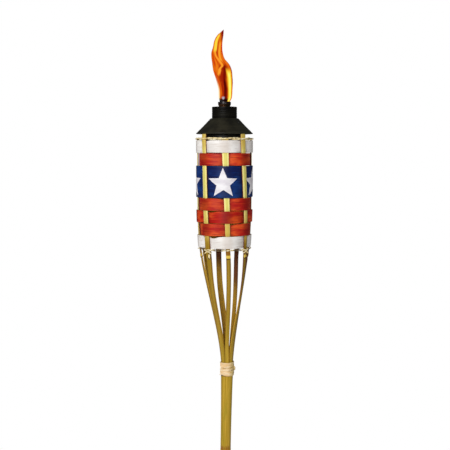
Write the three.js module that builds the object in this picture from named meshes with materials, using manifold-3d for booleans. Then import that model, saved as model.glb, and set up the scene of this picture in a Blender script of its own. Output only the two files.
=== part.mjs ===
// A garden torch on a bamboo pole. The pole's thick end is split into eight splints that spread into a
// basket, seven painted bamboo strips are woven round them, and a tin fuel canister with a cone top, a
// screw cap, a burner tube and a wick hangs in the basket by its cone. Millimetres, +Z up. The origin is
// where the pole enters the ground, on the pole's axis, and -Y is the side that shows a whole star.
import * as THREE from "three";
import { mergeVertices } from "three/addons/utils/BufferGeometryUtils.js";
import Module from "manifold-3d";

const wasm = await Module();
wasm.setup();

// ---- Driving dimensions ----
const gap = 0.3; // left between pieces that touch
const torchHeight = 1448; // pole tip to the top of the screw cap
const buriedLength = 200; // of the pole, below the ground line

const poleRadiusTop = 10.7; // at the binding, the culm's thick end
const poleRadiusMiddle = 9.2;
const poleRadiusBottom = 8.4;
const poleFlare = 140; // length over which the pole swells to its top radius
const poleBow = 4; // how far the culm bends to -X, halfway from the ground to the binding
const poleStep = 60; // height between the stations that the bend is made with
const culmWall = 3; // thickness of the bamboo's wall
const poleNodeSpacing = 250; // from one ring of the culm to the next
const poleTopToNode = 150; // from the split down to the culm's topmost ring
const poleNodeProfile = [[-5, 0], [-1.5, 0.7], [0.5, 0.7], [3, -0.1]]; // [height from the ring, swell]
const diaphragmHalf = 2.5; // of the wood across the culm at a ring
const diaphragmDish = 1;
const stakeCutLength = 46; // of the slanting cut at the pole's foot
const stakeTip = 2; // width left at its point

const splintCount = 8; // even, because each strip passes over and under
const splintWidthsTop = [11.2, 10.2, 10.6, 10.4, 10.8, 10.4, 10.6, 9.6]; // anticlockwise from the front
const splintWidthsBelow = [7.7, 7.6, 8, 8.2, 9.8, 8.4, 8, 11]; // below the basket
// Degrees that each splint stands from an even spacing: at the topmost strip, and then for each millimetre
// that the splints spread, at the lowest strip and halfway down to the binding.
const splintShiftsTop = [0.7, -2.5, 0, 0, 0, 0, 0, -4.5];
const splintShiftsFoot = [0.00877, 0.0731, 0, 0, 0, 0, 0, -0.1462];
const splayShifts = [0, 0.2924, -0.17544, -0.32164, 0, 0, 0, -0.32164];
const splintThickness = 2.6; // where the strips cross it
const splintCrown = 0.7; // how far its bark side bulges
const splintLengthInBinding = 18;
const splintNodeBelowBasket = 18; // the culm's ring that every splint carries
const splintNodeHalf = 3; // of that ring's height
const splintNodeSwell = 1.1; // and how much thicker the splint is there
const splintRise = 10.4; // above the topmost strip, of the splints that carry the cone's rim
const splintDrop = 7.6; // how much lower the others end
const twistAtTop = THREE.MathUtils.degToRad(0.5);
const weaveTwist = THREE.MathUtils.degToRad(7); // the splints lean this far round the basket
const backLean = THREE.MathUtils.degToRad(3.2); // the splints at the back lean up to twice this further
const splayBow = THREE.MathUtils.degToRad(5); // how far they bow sideways below it
const splayHeight = 205.5; // from the binding up to the basket
const untwistedPart = 0.7; // share of that height over which the splints' lean dies away
const splaySlopes = [0.45, 0.7]; // of the splints' curve at the binding and at the basket

const basketRadius = 46.3; // of the splints' middle line in the upper basket
const basketTaper = 2.9; // how much narrower it is at the lowest strip
const taperedPart = 0.42; // share of the basket's height over which it narrows
const headOffset = -4.5; // the basket's axis stands this far along X from the pole's

const stripHeight = 21.8;
const starStripHeight = 55;
const stripThickness = 1.2;
const stripGap = 0.35; // between one strip and the next
const stripClear = 0.7; // between a strip and the splint it passes
const starStripIndex = 2; // counted from the top
const stripNames = [
  "white_top", "red_upper", "blue_star", "red_middle_1", "red_middle_2", "red_lower", "white_bottom",
];

const cordRadius = 1.0; // of the twined lashings
const cordClear = 0.9; // between a cord and the splint it passes
const lashingClear = 1.4; // from a lashing's cord to the strip beside it
const bindingHeight = 24;
const bindingThickness = 1.35;
const bindingClear = 0.45; // round the splints' feet
const bindingRound = [0.6, 3]; // its ends narrow by this much, over this height

const sheet = 0.6; // of the canister's tinplate
const canClear = 12.1; // between the canister's wall and the splints' middle line
const canDepth = 105; // from the cone's rim down to the foot
const footRecess = 2;
const seamHeight = 4;
const coneHeight = 27.1;
const shoulderWidth = 2.5; // of the flat ring round the screw cap
const rimCurl = 2; // height of the rolled edge
const rimCurlDepth = 1.6; // and its width
const rimOutsideSplint = 3; // how far the rolled edge stands out past the splints' middle line
const rimOverSplint = 0.5; // how far the rolled edge reaches in past the splints' middle line
const capRadius = 21.7;
const capHeight = 19.5;
const capChamfer = 0.8;
const capDish = 0.4; // the cap's middle lies this much lower, round the burner
const capDishClear = 0.4; // from the burner's flange to the dish's edge
const capGroove = 0.45;
const capGrooveHalf = 0.9;
const capGrooveFloorHalf = 0.4;
const capGrooveDepths = [5.4, 9]; // down from the cap's top
const threadRoom = 1.8; // between the neck and the inside of the cap
const threadBelowNeck = 9; // from the neck's edge down to the thread's start
const threadBite = 0.3; // the ridge's root reaches this far into the wall
const threadPitch = 4;
const threadTurns = 1.5;
const threadDepth = 1.1;
const threadRoot = 1.6; // axial width at the wall
const threadTip = 0.7;
const gasketThickness = 2;

const wickRadius = 8.6;
const wickStandOut = 16; // above the cap's top
const wickFootClear = 4; // above the canister's floor
const wickRound = [1.6, 2.6, 0.9]; // its top narrows by the first over the second, then rises by the third
const tubeWall = 0.8;
const tubeStandOut = 8.6;
const tubeBelowRoof = 20;
const tubeLip = 1.5; // how far the tube's mouth flares
const tubeLipHeight = 3;
const tubeLipEdge = 0.8;
const tubeFlange = 2.8; // how far its flange reaches under the cap's roof
const tubeBead = 1.2; // how far the bead above the roof stands out
const tubeRingHeight = 0.9; // of the flange and the bead

const flameHeight = 115.5;
const flameWidth = 33; // at its widest
const flameDepthShare = 0.72; // its depth along Y, as a share of its width

// ---- Places worked out from them ----
const capTop = torchHeight - buriedLength;
const canRadius = basketRadius - canClear;
const basketRadiusFoot = basketRadius - basketTaper;
const bindingSplintRadius = poleRadiusTop - culmWall / 2;
const splintSpread = basketRadiusFoot - bindingSplintRadius;
const coneRimRadius = basketRadius + rimOutsideSplint;
const coneTopRadius = capRadius + shoulderWidth;
const neckRadius = capRadius - sheet - threadRoom;
const tubeInner = wickRadius + gap;
const tubeOuter = tubeInner + tubeWall;
const capDishRadius = tubeOuter + tubeFlange + capDishClear;
const shoulderTop = capTop - capHeight - gap;
const rimBottom = shoulderTop - coneHeight;
const splintTop = rimBottom - gap;
const basketTop = splintTop - splintRise;
const stripHeights = stripNames.map((_, i) => (i === starStripIndex ? starStripHeight : stripHeight));
const basketFoot = basketTop - stripHeights.reduce((sum, h) => sum + h, 0);
const bindingTop = basketFoot - splayHeight;
const splitHeight = bindingTop - splintLengthInBinding;
const canFoot = rimBottom - canDepth;
const roofUnder = capTop - sheet;
const dishTop = capTop - capDish;
const dishUnder = dishTop - sheet;
const neckTop = roofUnder - gasketThickness - 2 * gap;
const wickTop = capTop + wickStandOut;
const cordWave = splintThickness / 2 + splintCrown + cordRadius + cordClear; // twining amplitude
const stripWave = splintThickness / 2 + stripThickness / 2 + stripClear; // weaving amplitude

// ---- Helpers ----
const up = new THREE.Vector3(0, 0, 1);
const around = (angle) => new THREE.Vector3(Math.cos(angle), Math.sin(angle), 0);
const clamp01 = (t) => THREE.MathUtils.clamp(t, 0, 1);

// A closed skin over rows of matching points, each row counter-clockwise seen from the next one.
// It is capped at both ends, or joined end to end where ring is true.
function skin(rows, ring = false) {
  const n = rows[0].length;
  const position = rows.flat().flatMap((p) => [p.x, p.y, p.z]);
  const index = [];
  const last = ring ? rows.length : rows.length - 1;
  for (let i = 0; i < last; i++) {
    const a = i * n;
    const b = ((i + 1) % rows.length) * n;
    for (let j = 0; j < n; j++) {
      const k = (j + 1) % n;
      index.push(a + j, a + k, b + j, a + k, b + k, b + j);
    }
  }
  if (!ring) {
    const top = (rows.length - 1) * n;
    for (let j = 1; j < n - 1; j++) {
      index.push(0, j + 1, j);
      index.push(top, top + j, top + j + 1);
    }
  }
  const geometry = new THREE.BufferGeometry();
  geometry.setAttribute("position", new THREE.Float32BufferAttribute(position, 3));
  geometry.setIndex(index);
  return geometry;
}

// A solid of revolution about Z from [radius, height] points, counter-clockwise.
function turned(profile, segments = 32) {
  const points = profile.map(([r, z]) => new THREE.Vector2(r, z));
  if (profile[0][0] > 0) points.push(points[0].clone());
  return new THREE.LatheGeometry(points, segments).rotateX(Math.PI / 2);
}

function solid(geometry) {
  const bare = geometry.clone();
  bare.deleteAttribute("normal");
  bare.deleteAttribute("uv");
  const merged = mergeVertices(bare, 1e-3);
  return new wasm.Manifold(
    new wasm.Mesh({
      numProp: 3,
      vertProperties: merged.attributes.position.array,
      triVerts: new Uint32Array(merged.index.array),
    }),
  );
}

function geometryOf(made) {
  const mesh = made.getMesh();
  const geometry = new THREE.BufferGeometry();
  geometry.setAttribute("position", new THREE.BufferAttribute(mesh.vertProperties, 3));
  geometry.setIndex(new THREE.BufferAttribute(mesh.triVerts, 1));
  return geometry;
}

function material(color, roughness, metalness = 0) {
  return new THREE.MeshStandardMaterial({ color, roughness, metalness });
}

function piece(name, geometry, finish) {
  const mesh = new THREE.Mesh(geometry, finish);
  mesh.name = name;
  return mesh;
}

// ---- Finishes ----
const bamboo = material(0xb79a3f, 0.5);
const paintedWhite = material(0xe9e6e4, 0.55);
const paintedRed = material(0xc2341b, 0.5);
const paintedBlue = material(0x16336b, 0.5);
const cane = material(0xe2c08a, 0.65);
const twine = material(0xe6cf95, 0.85);
const blackTin = material(0x23211b, 0.45, 0.3);
const rubber = material(0x3a3a38, 0.85);
const burnerSteel = material(0x3b3430, 0.35, 0.9);
const glassRope = material(0xd8d2c4, 0.9);
const fire = material(0xf07a1c, 0.9);
const stripFinishes = [
  paintedWhite, paintedRed, paintedBlue, paintedRed, paintedRed, paintedRed, paintedWhite,
];

// ---- The weave's own lines ----
// Radius of the splints' middle line at height z in the basket, which narrows towards its foot.
function weaveRadius(z) {
  const narrows = (basketTop - basketFoot) * taperedPart;
  const t = clamp01((z - basketFoot) / narrows);
  return basketRadiusFoot + (basketRadius - basketRadiusFoot) * t * (2 - t);
}

// The angle about Z, at height z, of what would be at the angle turn from the front in an untwisted weave.
function leaningAngle(turn, z) {
  const inBasket = clamp01((basketTop - z) / (basketTop - basketFoot));
  const splay = clamp01((z - bindingTop) / splayHeight);
  const settled = THREE.MathUtils.smoothstep(splay, 0, untwistedPart);
  const footShift = shiftAt(splintShiftsFoot, turn) * splintSpread;
  const shift = THREE.MathUtils.lerp(shiftAt(splintShiftsTop, turn), footShift, inBasket);
  const lean = twistAtTop + (weaveTwist + backLean * (1 - Math.cos(turn))) * inBasket + shift;
  return turn - Math.PI / 2 + lean * settled + splayBow * 4 * splay * (1 - splay);
}

// One splint's shift from an even spacing, passing smoothly into its neighbour's in between.
function shiftAt(shifts, turn) {
  const place = ((turn / (2 * Math.PI)) * splintCount + splintCount) % splintCount;
  const before = Math.floor(place);
  const near = (i) => THREE.MathUtils.degToRad(shifts[i % splintCount % shifts.length]);
  return THREE.MathUtils.lerp(near(before), near(before + 1), THREE.MathUtils.smoothstep(place - before, 0, 1));
}

function splintAngle(i, z) {
  const splay = clamp01((z - bindingTop) / splayHeight);
  const shift = THREE.MathUtils.degToRad(splayShifts[i % splayShifts.length] * splintSpread);
  return leaningAngle((i * 2 * Math.PI) / splintCount, z) + shift * (4 * splay * (1 - splay)) ** 2;
}

// Radius of a splint's middle line at any height: an S from the binding out to the basket.
function splintRadius(z) {
  if (z >= basketFoot) return weaveRadius(z);
  const t = clamp01((z - bindingTop) / splayHeight);
  const [startSlope, endSlope] = splaySlopes;
  const rise =
    startSlope * (t ** 3 - 2 * t ** 2 + t) + (3 * t ** 2 - 2 * t ** 3) + endSlope * (t ** 3 - t ** 2);
  return bindingSplintRadius + splintSpread * rise;
}

// The axis that the splints gather round moves from the pole's to the basket's.
function axisAt(z) {
  const t = clamp01((z - bindingTop) / splayHeight);
  return new THREE.Vector3(headOffset * t * t * (3 - 2 * t), 0, z);
}

function splintPoint(i, z) {
  return axisAt(z).addScaledVector(around(splintAngle(i, z)), splintRadius(z));
}

// ---- Pieces ----
// Moves points sideways onto the culm's bent middle line, which is upright again at the binding.
function bent(geometry) {
  const at = geometry.attributes.position;
  for (let i = 0; i < at.count; i++) {
    const share = at.getZ(i) / splitHeight;
    at.setX(i, at.getX(i) - poleBow * 4 * share * (share > 0 ? 1 - share : 1));
  }
  return geometry;
}

function pole() {
  const foot = -buriedLength;
  const radiusAt = (z) => {
    const flare = clamp01((z - splitHeight) / poleFlare + 1);
    const along = (z - foot) / (splitHeight - foot);
    return THREE.MathUtils.lerp(poleRadiusBottom, poleRadiusMiddle, along) +
      (poleRadiusTop - poleRadiusMiddle) * flare * flare;
  };
  const outside = [[radiusAt(foot), foot]];
  const nodes = [];
  for (let z = splitHeight - poleTopToNode; z > foot + stakeCutLength; z -= poleNodeSpacing) nodes.unshift(z);
  let below = foot;
  for (const z of [...nodes, splitHeight]) {
    const steps = Math.ceil((z - below) / poleStep);
    for (let i = 1; i < steps; i++) {
      const between = THREE.MathUtils.lerp(below, z, i / steps);
      outside.push([radiusAt(between), between]);
    }
    const profile = z === splitHeight ? [[0, 0]] : poleNodeProfile;
    outside.push(...profile.map(([rise, swell]) => [radiusAt(z) + swell, z + rise]));
    below = z;
  }
  const bore = (z) => radiusAt(z) - culmWall;
  const lowDiaphragm = nodes[0] - diaphragmHalf;
  const highDiaphragm = nodes[nodes.length - 1] + diaphragmHalf;
  const inside = [
    [bore(splitHeight), splitHeight],
    [bore(highDiaphragm), highDiaphragm],
    [0, highDiaphragm - diaphragmDish],
  ];
  const bottom = [
    [0, lowDiaphragm + diaphragmDish],
    [bore(lowDiaphragm), lowDiaphragm],
    [bore(foot), foot],
  ];
  const whole = solid(turned([...bottom, ...outside, ...inside], 20));
  const wide = 8 * poleRadiusBottom;
  const deep = 4 * stakeCutLength;
  const cut = new THREE.BoxGeometry(wide, wide, deep).translate(wide / 2, 0, -deep / 2);
  cut.rotateY(-Math.atan2(2 * poleRadiusBottom - stakeTip, stakeCutLength));
  cut.translate(poleRadiusBottom, 0, foot + stakeCutLength);
  return bent(geometryOf(whole.subtract(solid(cut))));
}

function splint(i) {
  const ring = basketFoot - splintNodeBelowBasket;
  const ownTop = i % 2 === 0 ? splintTop - splintDrop : splintTop;
  const clearOfNeighbour = Math.tan(Math.PI / splintCount);
  const heights = [
    splitHeight + gap,
    bindingTop,
    ...[0.12, 0.27, 0.45, 0.63, 0.8].map((t) => bindingTop + splayHeight * t),
    ring - splintNodeHalf,
    ring,
    ring + splintNodeHalf,
    basketFoot - 5,
    basketFoot + 6,
    ...[0.22, 0.42, 0.7].map((t) => basketFoot + (basketTop - basketFoot) * t),
    ownTop,
  ];
  return skin(
    heights.map((z) => {
      const at = splintPoint(i, z);
      const along = splintPoint(i, z + 1).sub(splintPoint(i, z - 1)).normalize();
      const across = new THREE.Vector3().crossVectors(up, around(splintAngle(i, z))).normalize();
      const out = new THREE.Vector3().crossVectors(across, along).normalize();
      const grown = clamp01((z - ring) / (basketTop - ring));
      const widthTop = splintWidthsTop[i % splintWidthsTop.length];
      const widthBelow = splintWidthsBelow[i % splintWidthsBelow.length];
      const width = THREE.MathUtils.lerp(widthBelow, widthTop, grown);
      const inBasket = clamp01((z - bindingTop) / splayHeight);
      const bump = z === ring ? splintNodeSwell : 0;
      const thickness = THREE.MathUtils.lerp(culmWall, splintThickness, inBasket) + bump;
      const halfAt = (offset) =>
        Math.min(width / 2, (splintRadius(z) + offset) * clearOfNeighbour - gap);
      const spot = (side, offset) => at.clone().addScaledVector(across, side).addScaledVector(out, offset);
      const inner = -thickness / 2;
      const edge = thickness / 2 - splintCrown;
      return [
        spot(-halfAt(inner), inner),
        spot(-halfAt(edge), edge),
        spot(0, thickness / 2),
        spot(halfAt(edge), edge),
        spot(halfAt(inner), inner),
      ];
    }),
  );
}

// One hoop of the weave. It passes outside every second splint and inside the others.
function strip(index) {
  const top = basketTop - stripHeights.slice(0, index).reduce((sum, h) => sum + h, 0) - stripGap / 2;
  const foot = top - stripHeights[index] + stripGap;
  const side = index % 2 === 0 ? 1 : -1; // every second strip, from the topmost, is outside the front splint
  const steps = splintCount * 6;
  const rows = [];
  for (let i = 0; i < steps; i++) {
    const angle = (i * 2 * Math.PI) / steps;
    const edge = (z, offset) => {
      const wave = stripWave * side * Math.cos((splintCount / 2) * angle);
      return around(leaningAngle(angle, z)).multiplyScalar(weaveRadius(z) + wave + offset).setZ(z);
    };
    const half = stripThickness / 2;
    rows.push([edge(foot, -half), edge(top, -half), edge(top, half), edge(foot, half)]);
  }
  return skin(rows, true);
}

// Two cords twined round the splints, one outside where the other is inside, crossing in between.
function lashing(z) {
  const steps = splintCount * 6;
  const sides = 5;
  const strand = (side) => {
    const rows = [];
    for (let i = 0; i < steps; i++) {
      const angle = (i * 2 * Math.PI) / steps;
      const wave = cordWave * side * Math.cos((splintCount / 2) * angle);
      const out = around(leaningAngle(angle, z));
      const row = [];
      for (let j = 0; j < sides; j++) {
        const turn = (j * 2 * Math.PI) / sides + Math.PI / 2;
        const reach = splintRadius(z) + wave + cordRadius * Math.cos(turn);
        row.push(out.clone().multiplyScalar(reach).setZ(z + cordRadius * Math.sin(turn)));
      }
      rows.push(row.reverse());
    }
    return solid(skin(rows, true));
  };
  return geometryOf(strand(1).add(strand(-1)));
}

function binding() {
  const inner = poleRadiusTop + bindingClear;
  const outer = inner + bindingThickness;
  const foot = bindingTop - bindingHeight;
  const [narrows, over] = bindingRound;
  return turned(
    [
      [inner, foot],
      [outer - narrows, foot],
      [outer, foot + over],
      [outer, bindingTop - over],
      [outer - narrows, bindingTop],
      [inner, bindingTop],
    ],
    24,
  );
}

// Height of the cone's outer face at a radius.
function coneOver(r) {
  return shoulderTop - ((r - coneTopRadius) * coneHeight) / (coneRimRadius - coneTopRadius);
}
const coneDrop = sheet / Math.cos(Math.atan2(coneHeight, coneRimRadius - coneTopRadius));

// A helical ridge on a wall of radius wall, standing inwards where depth is negative.
function thread(wall, depth, foot) {
  const perTurn = 24;
  const root = wall - Math.sign(depth) * threadBite;
  const rows = [];
  for (let i = 0; i <= threadTurns * perTurn; i++) {
    const angle = (i * 2 * Math.PI) / perTurn;
    const z = foot + (i * threadPitch) / perTurn;
    const fade = Math.min(1, (i + 0.5) / 3, (threadTurns * perTurn - i + 0.5) / 3);
    const tip = wall + depth * fade;
    const at = (r, dz) => around(angle).multiplyScalar(r).setZ(z + dz);
    const row = [
      at(root, -threadRoot / 2),
      at(tip, -threadTip / 2),
      at(tip, threadTip / 2),
      at(root, threadRoot / 2),
    ];
    rows.push(depth > 0 ? row.reverse() : row);
  }
  return solid(skin(rows));
}

function coneTop() {
  const rimInner = basketRadius - rimOverSplint;
  const shell = turned([
    [rimInner, rimBottom],
    [coneRimRadius, rimBottom],
    [coneRimRadius, rimBottom + rimCurl],
    [coneRimRadius - rimCurlDepth, coneOver(coneRimRadius - rimCurlDepth)],
    [coneTopRadius, shoulderTop],
    [neckRadius, shoulderTop],
    [neckRadius, neckTop],
    [neckRadius - sheet, neckTop],
    [neckRadius - sheet, shoulderTop - coneDrop],
    [coneTopRadius, shoulderTop - coneDrop],
    [rimInner, coneOver(rimInner) - coneDrop],
  ]);
  return geometryOf(solid(shell).add(thread(neckRadius, threadDepth, neckTop - threadBelowNeck)));
}

function canWall() {
  const under = (r) => coneOver(r) - coneDrop - gap;
  const foot = canFoot + sheet + gap;
  return turned([
    [canRadius - sheet, foot],
    [canRadius, foot],
    [canRadius, under(canRadius)],
    [canRadius - sheet, under(canRadius - sheet)],
  ]);
}

function canBase() {
  const rimInner = canRadius - 2 * sheet - gap;
  const rimOuter = canRadius + sheet + gap;
  const floor = canFoot + footRecess;
  return turned([
    [0, floor],
    [rimInner, floor],
    [rimInner, canFoot],
    [rimOuter, canFoot],
    [rimOuter, canFoot + seamHeight],
    [rimOuter - sheet, canFoot + seamHeight],
    [rimOuter - sheet, canFoot + sheet],
    [rimInner + sheet, canFoot + sheet],
    [rimInner + sheet, floor + sheet],
    [0, floor + sheet],
  ]);
}

function screwCap() {
  const foot = shoulderTop + gap;
  const hole = tubeOuter + gap;
  const grooves = [...capGrooveDepths].reverse().flatMap((depth) => [
    [capRadius, capTop - depth - capGrooveHalf],
    [capRadius - capGroove, capTop - depth - capGrooveFloorHalf],
    [capRadius - capGroove, capTop - depth + capGrooveFloorHalf],
    [capRadius, capTop - depth + capGrooveHalf],
  ]);
  const shell = turned([
    [capRadius - sheet, foot],
    [capRadius, foot],
    ...grooves,
    [capRadius, capTop - capChamfer],
    [capRadius - capChamfer, capTop],
    [capDishRadius + capDish, capTop],
    [capDishRadius, dishTop],
    [hole, dishTop],
    [hole, dishUnder],
    [capDishRadius, dishUnder],
    [capDishRadius + capDish, roofUnder],
    [capRadius - sheet, roofUnder],
  ]);
  const ridge = thread(capRadius - sheet, -threadDepth, neckTop - threadBelowNeck - threadPitch / 2);
  return geometryOf(solid(shell).add(ridge));
}

function gasket() {
  const inner = capDishRadius + capDish + gap;
  const outer = capRadius - sheet - gap;
  return turned(
    [
      [inner, neckTop + gap],
      [outer, neckTop + gap],
      [outer, neckTop + gap + gasketThickness],
      [inner, neckTop + gap + gasketThickness],
    ],
    24,
  );
}

function burnerTube() {
  const top = capTop + tubeStandOut;
  return turned(
    [
      [tubeInner, capTop - tubeBelowRoof],
      [tubeOuter, capTop - tubeBelowRoof],
      [tubeOuter, dishUnder - gap - tubeRingHeight],
      [tubeOuter + tubeFlange, dishUnder - gap - tubeRingHeight],
      [tubeOuter + tubeFlange, dishUnder - gap],
      [tubeOuter, dishUnder - gap],
      [tubeOuter, dishTop + gap],
      [tubeOuter + tubeBead, dishTop + gap],
      [tubeOuter + tubeBead, dishTop + gap + tubeRingHeight],
      [tubeOuter, dishTop + gap + tubeRingHeight],
      [tubeOuter, top - tubeLipHeight],
      [tubeOuter + tubeLip, top - tubeLipEdge],
      [tubeOuter + tubeLip, top],
      [tubeOuter + tubeLip - tubeWall, top],
      [tubeInner, top - tubeLipHeight],
    ],
    28,
  );
}

function wick() {
  const foot = canFoot + footRecess + sheet + wickFootClear;
  const [narrows, over, dome] = wickRound;
  return turned(
    [
      [0, foot],
      [wickRadius, foot],
      [wickRadius, wickTop - dome - over],
      [wickRadius - narrows, wickTop - dome],
      [0, wickTop],
    ],
    20,
  );
}

// The flame's outline as [height, sideways place, half width], each a share of its height or width.
const flameStations = [
  [0, 0.05, 0.22],
  [0.04, 0.05, 0.34],
  [0.13, 0.06, 0.38],
  [0.25, 0.01, 0.45],
  [0.38, -0.09, 0.5],
  [0.47, -0.18, 0.47],
  [0.55, -0.3, 0.38],
  [0.65, -0.37, 0.32],
  [0.74, -0.36, 0.26],
  [0.83, -0.31, 0.22],
  [0.91, -0.21, 0.16],
  [0.96, -0.13, 0.09],
  [1, -0.05, 0.02],
];

function flame() {
  const foot = wickTop + gap;
  const sides = 12;
  const sway = 0.12; // of the flame's width, along Y
  return skin(
    flameStations.map(([height, place, half]) => {
      const middle = new THREE.Vector3(
        place * flameWidth,
        sway * flameWidth * Math.sin(2 * Math.PI * height),
        foot + height * flameHeight,
      );
      const row = [];
      for (let j = 0; j < sides; j++) {
        const out = around((j * 2 * Math.PI) / sides);
        out.y *= flameDepthShare;
        row.push(middle.clone().addScaledVector(out, half * flameWidth));
      }
      return row;
    }),
  );
}

// ---- Assembly ----
const torch = new THREE.Group();
torch.add(piece("bamboo_pole", pole(), bamboo));
for (let i = 0; i < splintCount; i++) torch.add(piece(`splint_${i + 1}`, splint(i), bamboo));
torch.add(piece("cane_binding", binding(), cane));

const head = new THREE.Group();
head.position.x = headOffset;
torch.add(head);
stripNames.forEach((name, i) => head.add(piece(`strip_${name}`, strip(i), stripFinishes[i])));
head.add(piece("rim_lashing", lashing(basketTop + cordRadius + lashingClear), twine));
head.add(piece("foot_lashing", lashing(basketFoot - cordRadius - lashingClear), twine));

const canister = new THREE.Group();
head.add(canister);
canister.add(piece("can_base", canBase(), blackTin));
canister.add(piece("can_wall", canWall(), blackTin));
canister.add(piece("cone_top", coneTop(), blackTin));
canister.add(piece("cap_gasket", gasket(), rubber));
canister.add(piece("screw_cap", screwCap(), blackTin));
canister.add(piece("burner_tube", burnerTube(), burnerSteel));
canister.add(piece("wick", wick(), glassRope));
canister.add(piece("flame", flame(), fire));

export default torch;
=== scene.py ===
import math
import bpy
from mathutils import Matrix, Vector, noise


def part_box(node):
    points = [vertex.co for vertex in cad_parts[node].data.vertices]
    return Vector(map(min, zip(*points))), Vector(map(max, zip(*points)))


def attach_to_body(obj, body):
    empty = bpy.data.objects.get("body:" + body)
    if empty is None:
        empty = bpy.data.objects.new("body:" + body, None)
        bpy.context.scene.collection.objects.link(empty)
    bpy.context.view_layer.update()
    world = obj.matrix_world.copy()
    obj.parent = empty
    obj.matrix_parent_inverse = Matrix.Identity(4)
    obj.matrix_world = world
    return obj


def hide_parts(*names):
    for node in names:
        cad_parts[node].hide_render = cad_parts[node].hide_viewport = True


# Bamboo garden torch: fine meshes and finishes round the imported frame. Metres, +Z up, -Y is the front.
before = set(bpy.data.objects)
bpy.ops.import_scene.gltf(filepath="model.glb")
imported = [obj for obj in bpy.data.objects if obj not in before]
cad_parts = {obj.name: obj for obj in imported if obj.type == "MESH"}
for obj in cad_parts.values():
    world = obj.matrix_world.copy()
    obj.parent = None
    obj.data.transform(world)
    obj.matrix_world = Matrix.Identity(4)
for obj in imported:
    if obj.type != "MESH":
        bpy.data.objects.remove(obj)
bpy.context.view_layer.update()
mm = 0.001
turn = 2 * math.pi


# places taken from the frame
def foot(node):
    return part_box(node)[0].z


def top(node):
    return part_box(node)[1].z


def halfWidth(node):
    low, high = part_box(node)
    return (high.x - low.x) / 2


def middle(node):
    low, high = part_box(node)
    return (low + high) / 2


headX = middle("can_wall").x
stripNames = [
    "white_top", "red_upper", "blue_star", "red_middle_1", "red_middle_2", "red_lower", "white_bottom",
]
splintNames = [f"splint_{i + 1}" for i in range(8)]
basketTop = top("strip_white_top")
basketFoot = foot("strip_white_bottom")
bindingTop = top("cane_binding")
bindingFoot = foot("cane_binding")
splitHeight = foot("splint_1")
poleFoot = foot("bamboo_pole")

weave = {
    "radius": 46.3 * mm,  # of the splints' middle line in the upper basket
    "footRadius": 43.4 * mm,  # the same at the lowest strip
    "bindingRadius": 9.2 * mm,
    "tapered": 0.42,  # share of the basket that narrows
    "leanTop": math.radians(0.5),
    "lean": math.radians(7),  # how far round the splints lean down the basket
    "backLean": math.radians(3.2),
    "bow": math.radians(5),
    "settled": 0.7,
    "slopes": (0.45, 0.7),  # of the splints' curve at the binding and at the basket
    # degrees that each splint stands from an even spacing: at the top strip, at the lowest, halfway below
    "shiftsTop": [0.7, -2.5, 0, 0, 0, 0, 0, -4.5],
    "shiftsFoot": [0.3, 2.5, 0, 0, 0, 0, 0, -5],
    "splayShifts": [0, 10, -6, -11, 0, 0, 0, -11],
    "stripWave": 2.6 * mm,  # in and out of the splints
    "cordWave": 3.3 * mm,
}


def clamp(x, low=0.0, high=1.0):
    return max(low, min(high, x))


def mix(a, b, t):
    return a + (b - a) * t


def ease(t):
    t = clamp(t)
    return t * t * (3 - 2 * t)


def weaveRadius(z):
    t = clamp((z - basketFoot) / ((basketTop - basketFoot) * weave["tapered"]))
    return mix(weave["footRadius"], weave["radius"], t * (2 - t))


def splintRadius(z):
    if z >= basketFoot:
        return weaveRadius(z)
    t = clamp((z - bindingTop) / (basketFoot - bindingTop))
    start, end = weave["slopes"]
    rise = start * (t**3 - 2 * t**2 + t) + 3 * t**2 - 2 * t**3 + end * (t**3 - t**2)
    return mix(weave["bindingRadius"], weave["footRadius"], rise)


def leaning(angle, z):
    # where something at this angle round from the front ends up at height z
    inBasket = clamp((basketTop - z) / (basketTop - basketFoot))
    splay = clamp((z - bindingTop) / (basketFoot - bindingTop))
    lean = weave["leanTop"] + (weave["lean"] + weave["backLean"] * (1 - math.cos(angle))) * inBasket
    lean += mix(shiftAt(weave["shiftsTop"], angle), shiftAt(weave["shiftsFoot"], angle), inBasket)
    settled = ease(splay / weave["settled"])
    return angle - math.pi / 2 + lean * settled + weave["bow"] * 4 * splay * (1 - splay)


def shiftAt(shifts, angle):
    # one splint's shift passes smoothly into the next one's
    place = angle / turn * 8 % 8
    before = math.floor(place)
    near, far = shifts[before % 8], shifts[(before + 1) % 8]
    return math.radians(mix(near, far, ease(place - before)))


def splintAngle(i, z):
    splay = clamp((z - bindingTop) / (basketFoot - bindingTop))
    return leaning(turn * i / 8, z) + math.radians(weave["splayShifts"][i]) * (4 * splay * (1 - splay)) ** 2


def around(angle):
    return Vector((math.cos(angle), math.sin(angle), 0))


def axisAt(z):
    return Vector((headX * ease((z - bindingTop) / (basketFoot - bindingTop)), 0, z))


def rough(x, y, seed):
    # smooth chance from -1 to 1
    return noise.noise(Vector((x, y, seed * 7.31 + 0.5)))


# the camera stands before the basket and looks slightly down on it
view = {
    "distance": 1.5,
    "height": 1.1736,
    "tilt": math.radians(5),
    "lens": 68.6,
    "across": headX + 0.9 * mm,
}


def makeCamera():
    data = bpy.data.cameras.new("camera")
    data.lens = view["lens"]
    data.sensor_width = 36
    cam = bpy.data.objects.new("camera", data)
    bpy.context.collection.objects.link(cam)
    cam.location = (view["across"], -view["distance"], view["height"])
    cam.rotation_euler = (math.pi / 2 - view["tilt"], 0, 0)
    bpy.context.scene.camera = cam


makeCamera()
print("camera set")


# colours, and shader sums written as Python expressions
def paint(text, alpha=1.0):
    # a colour as it looks on a swatch, turned to light values
    parts = [int(text[i:i + 2], 16) / 255 for i in (0, 2, 4)]
    return tuple(p / 12.92 if p <= 0.04045 else ((p + 0.055) / 1.055) ** 2.4 for p in parts) + (alpha,)


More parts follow.
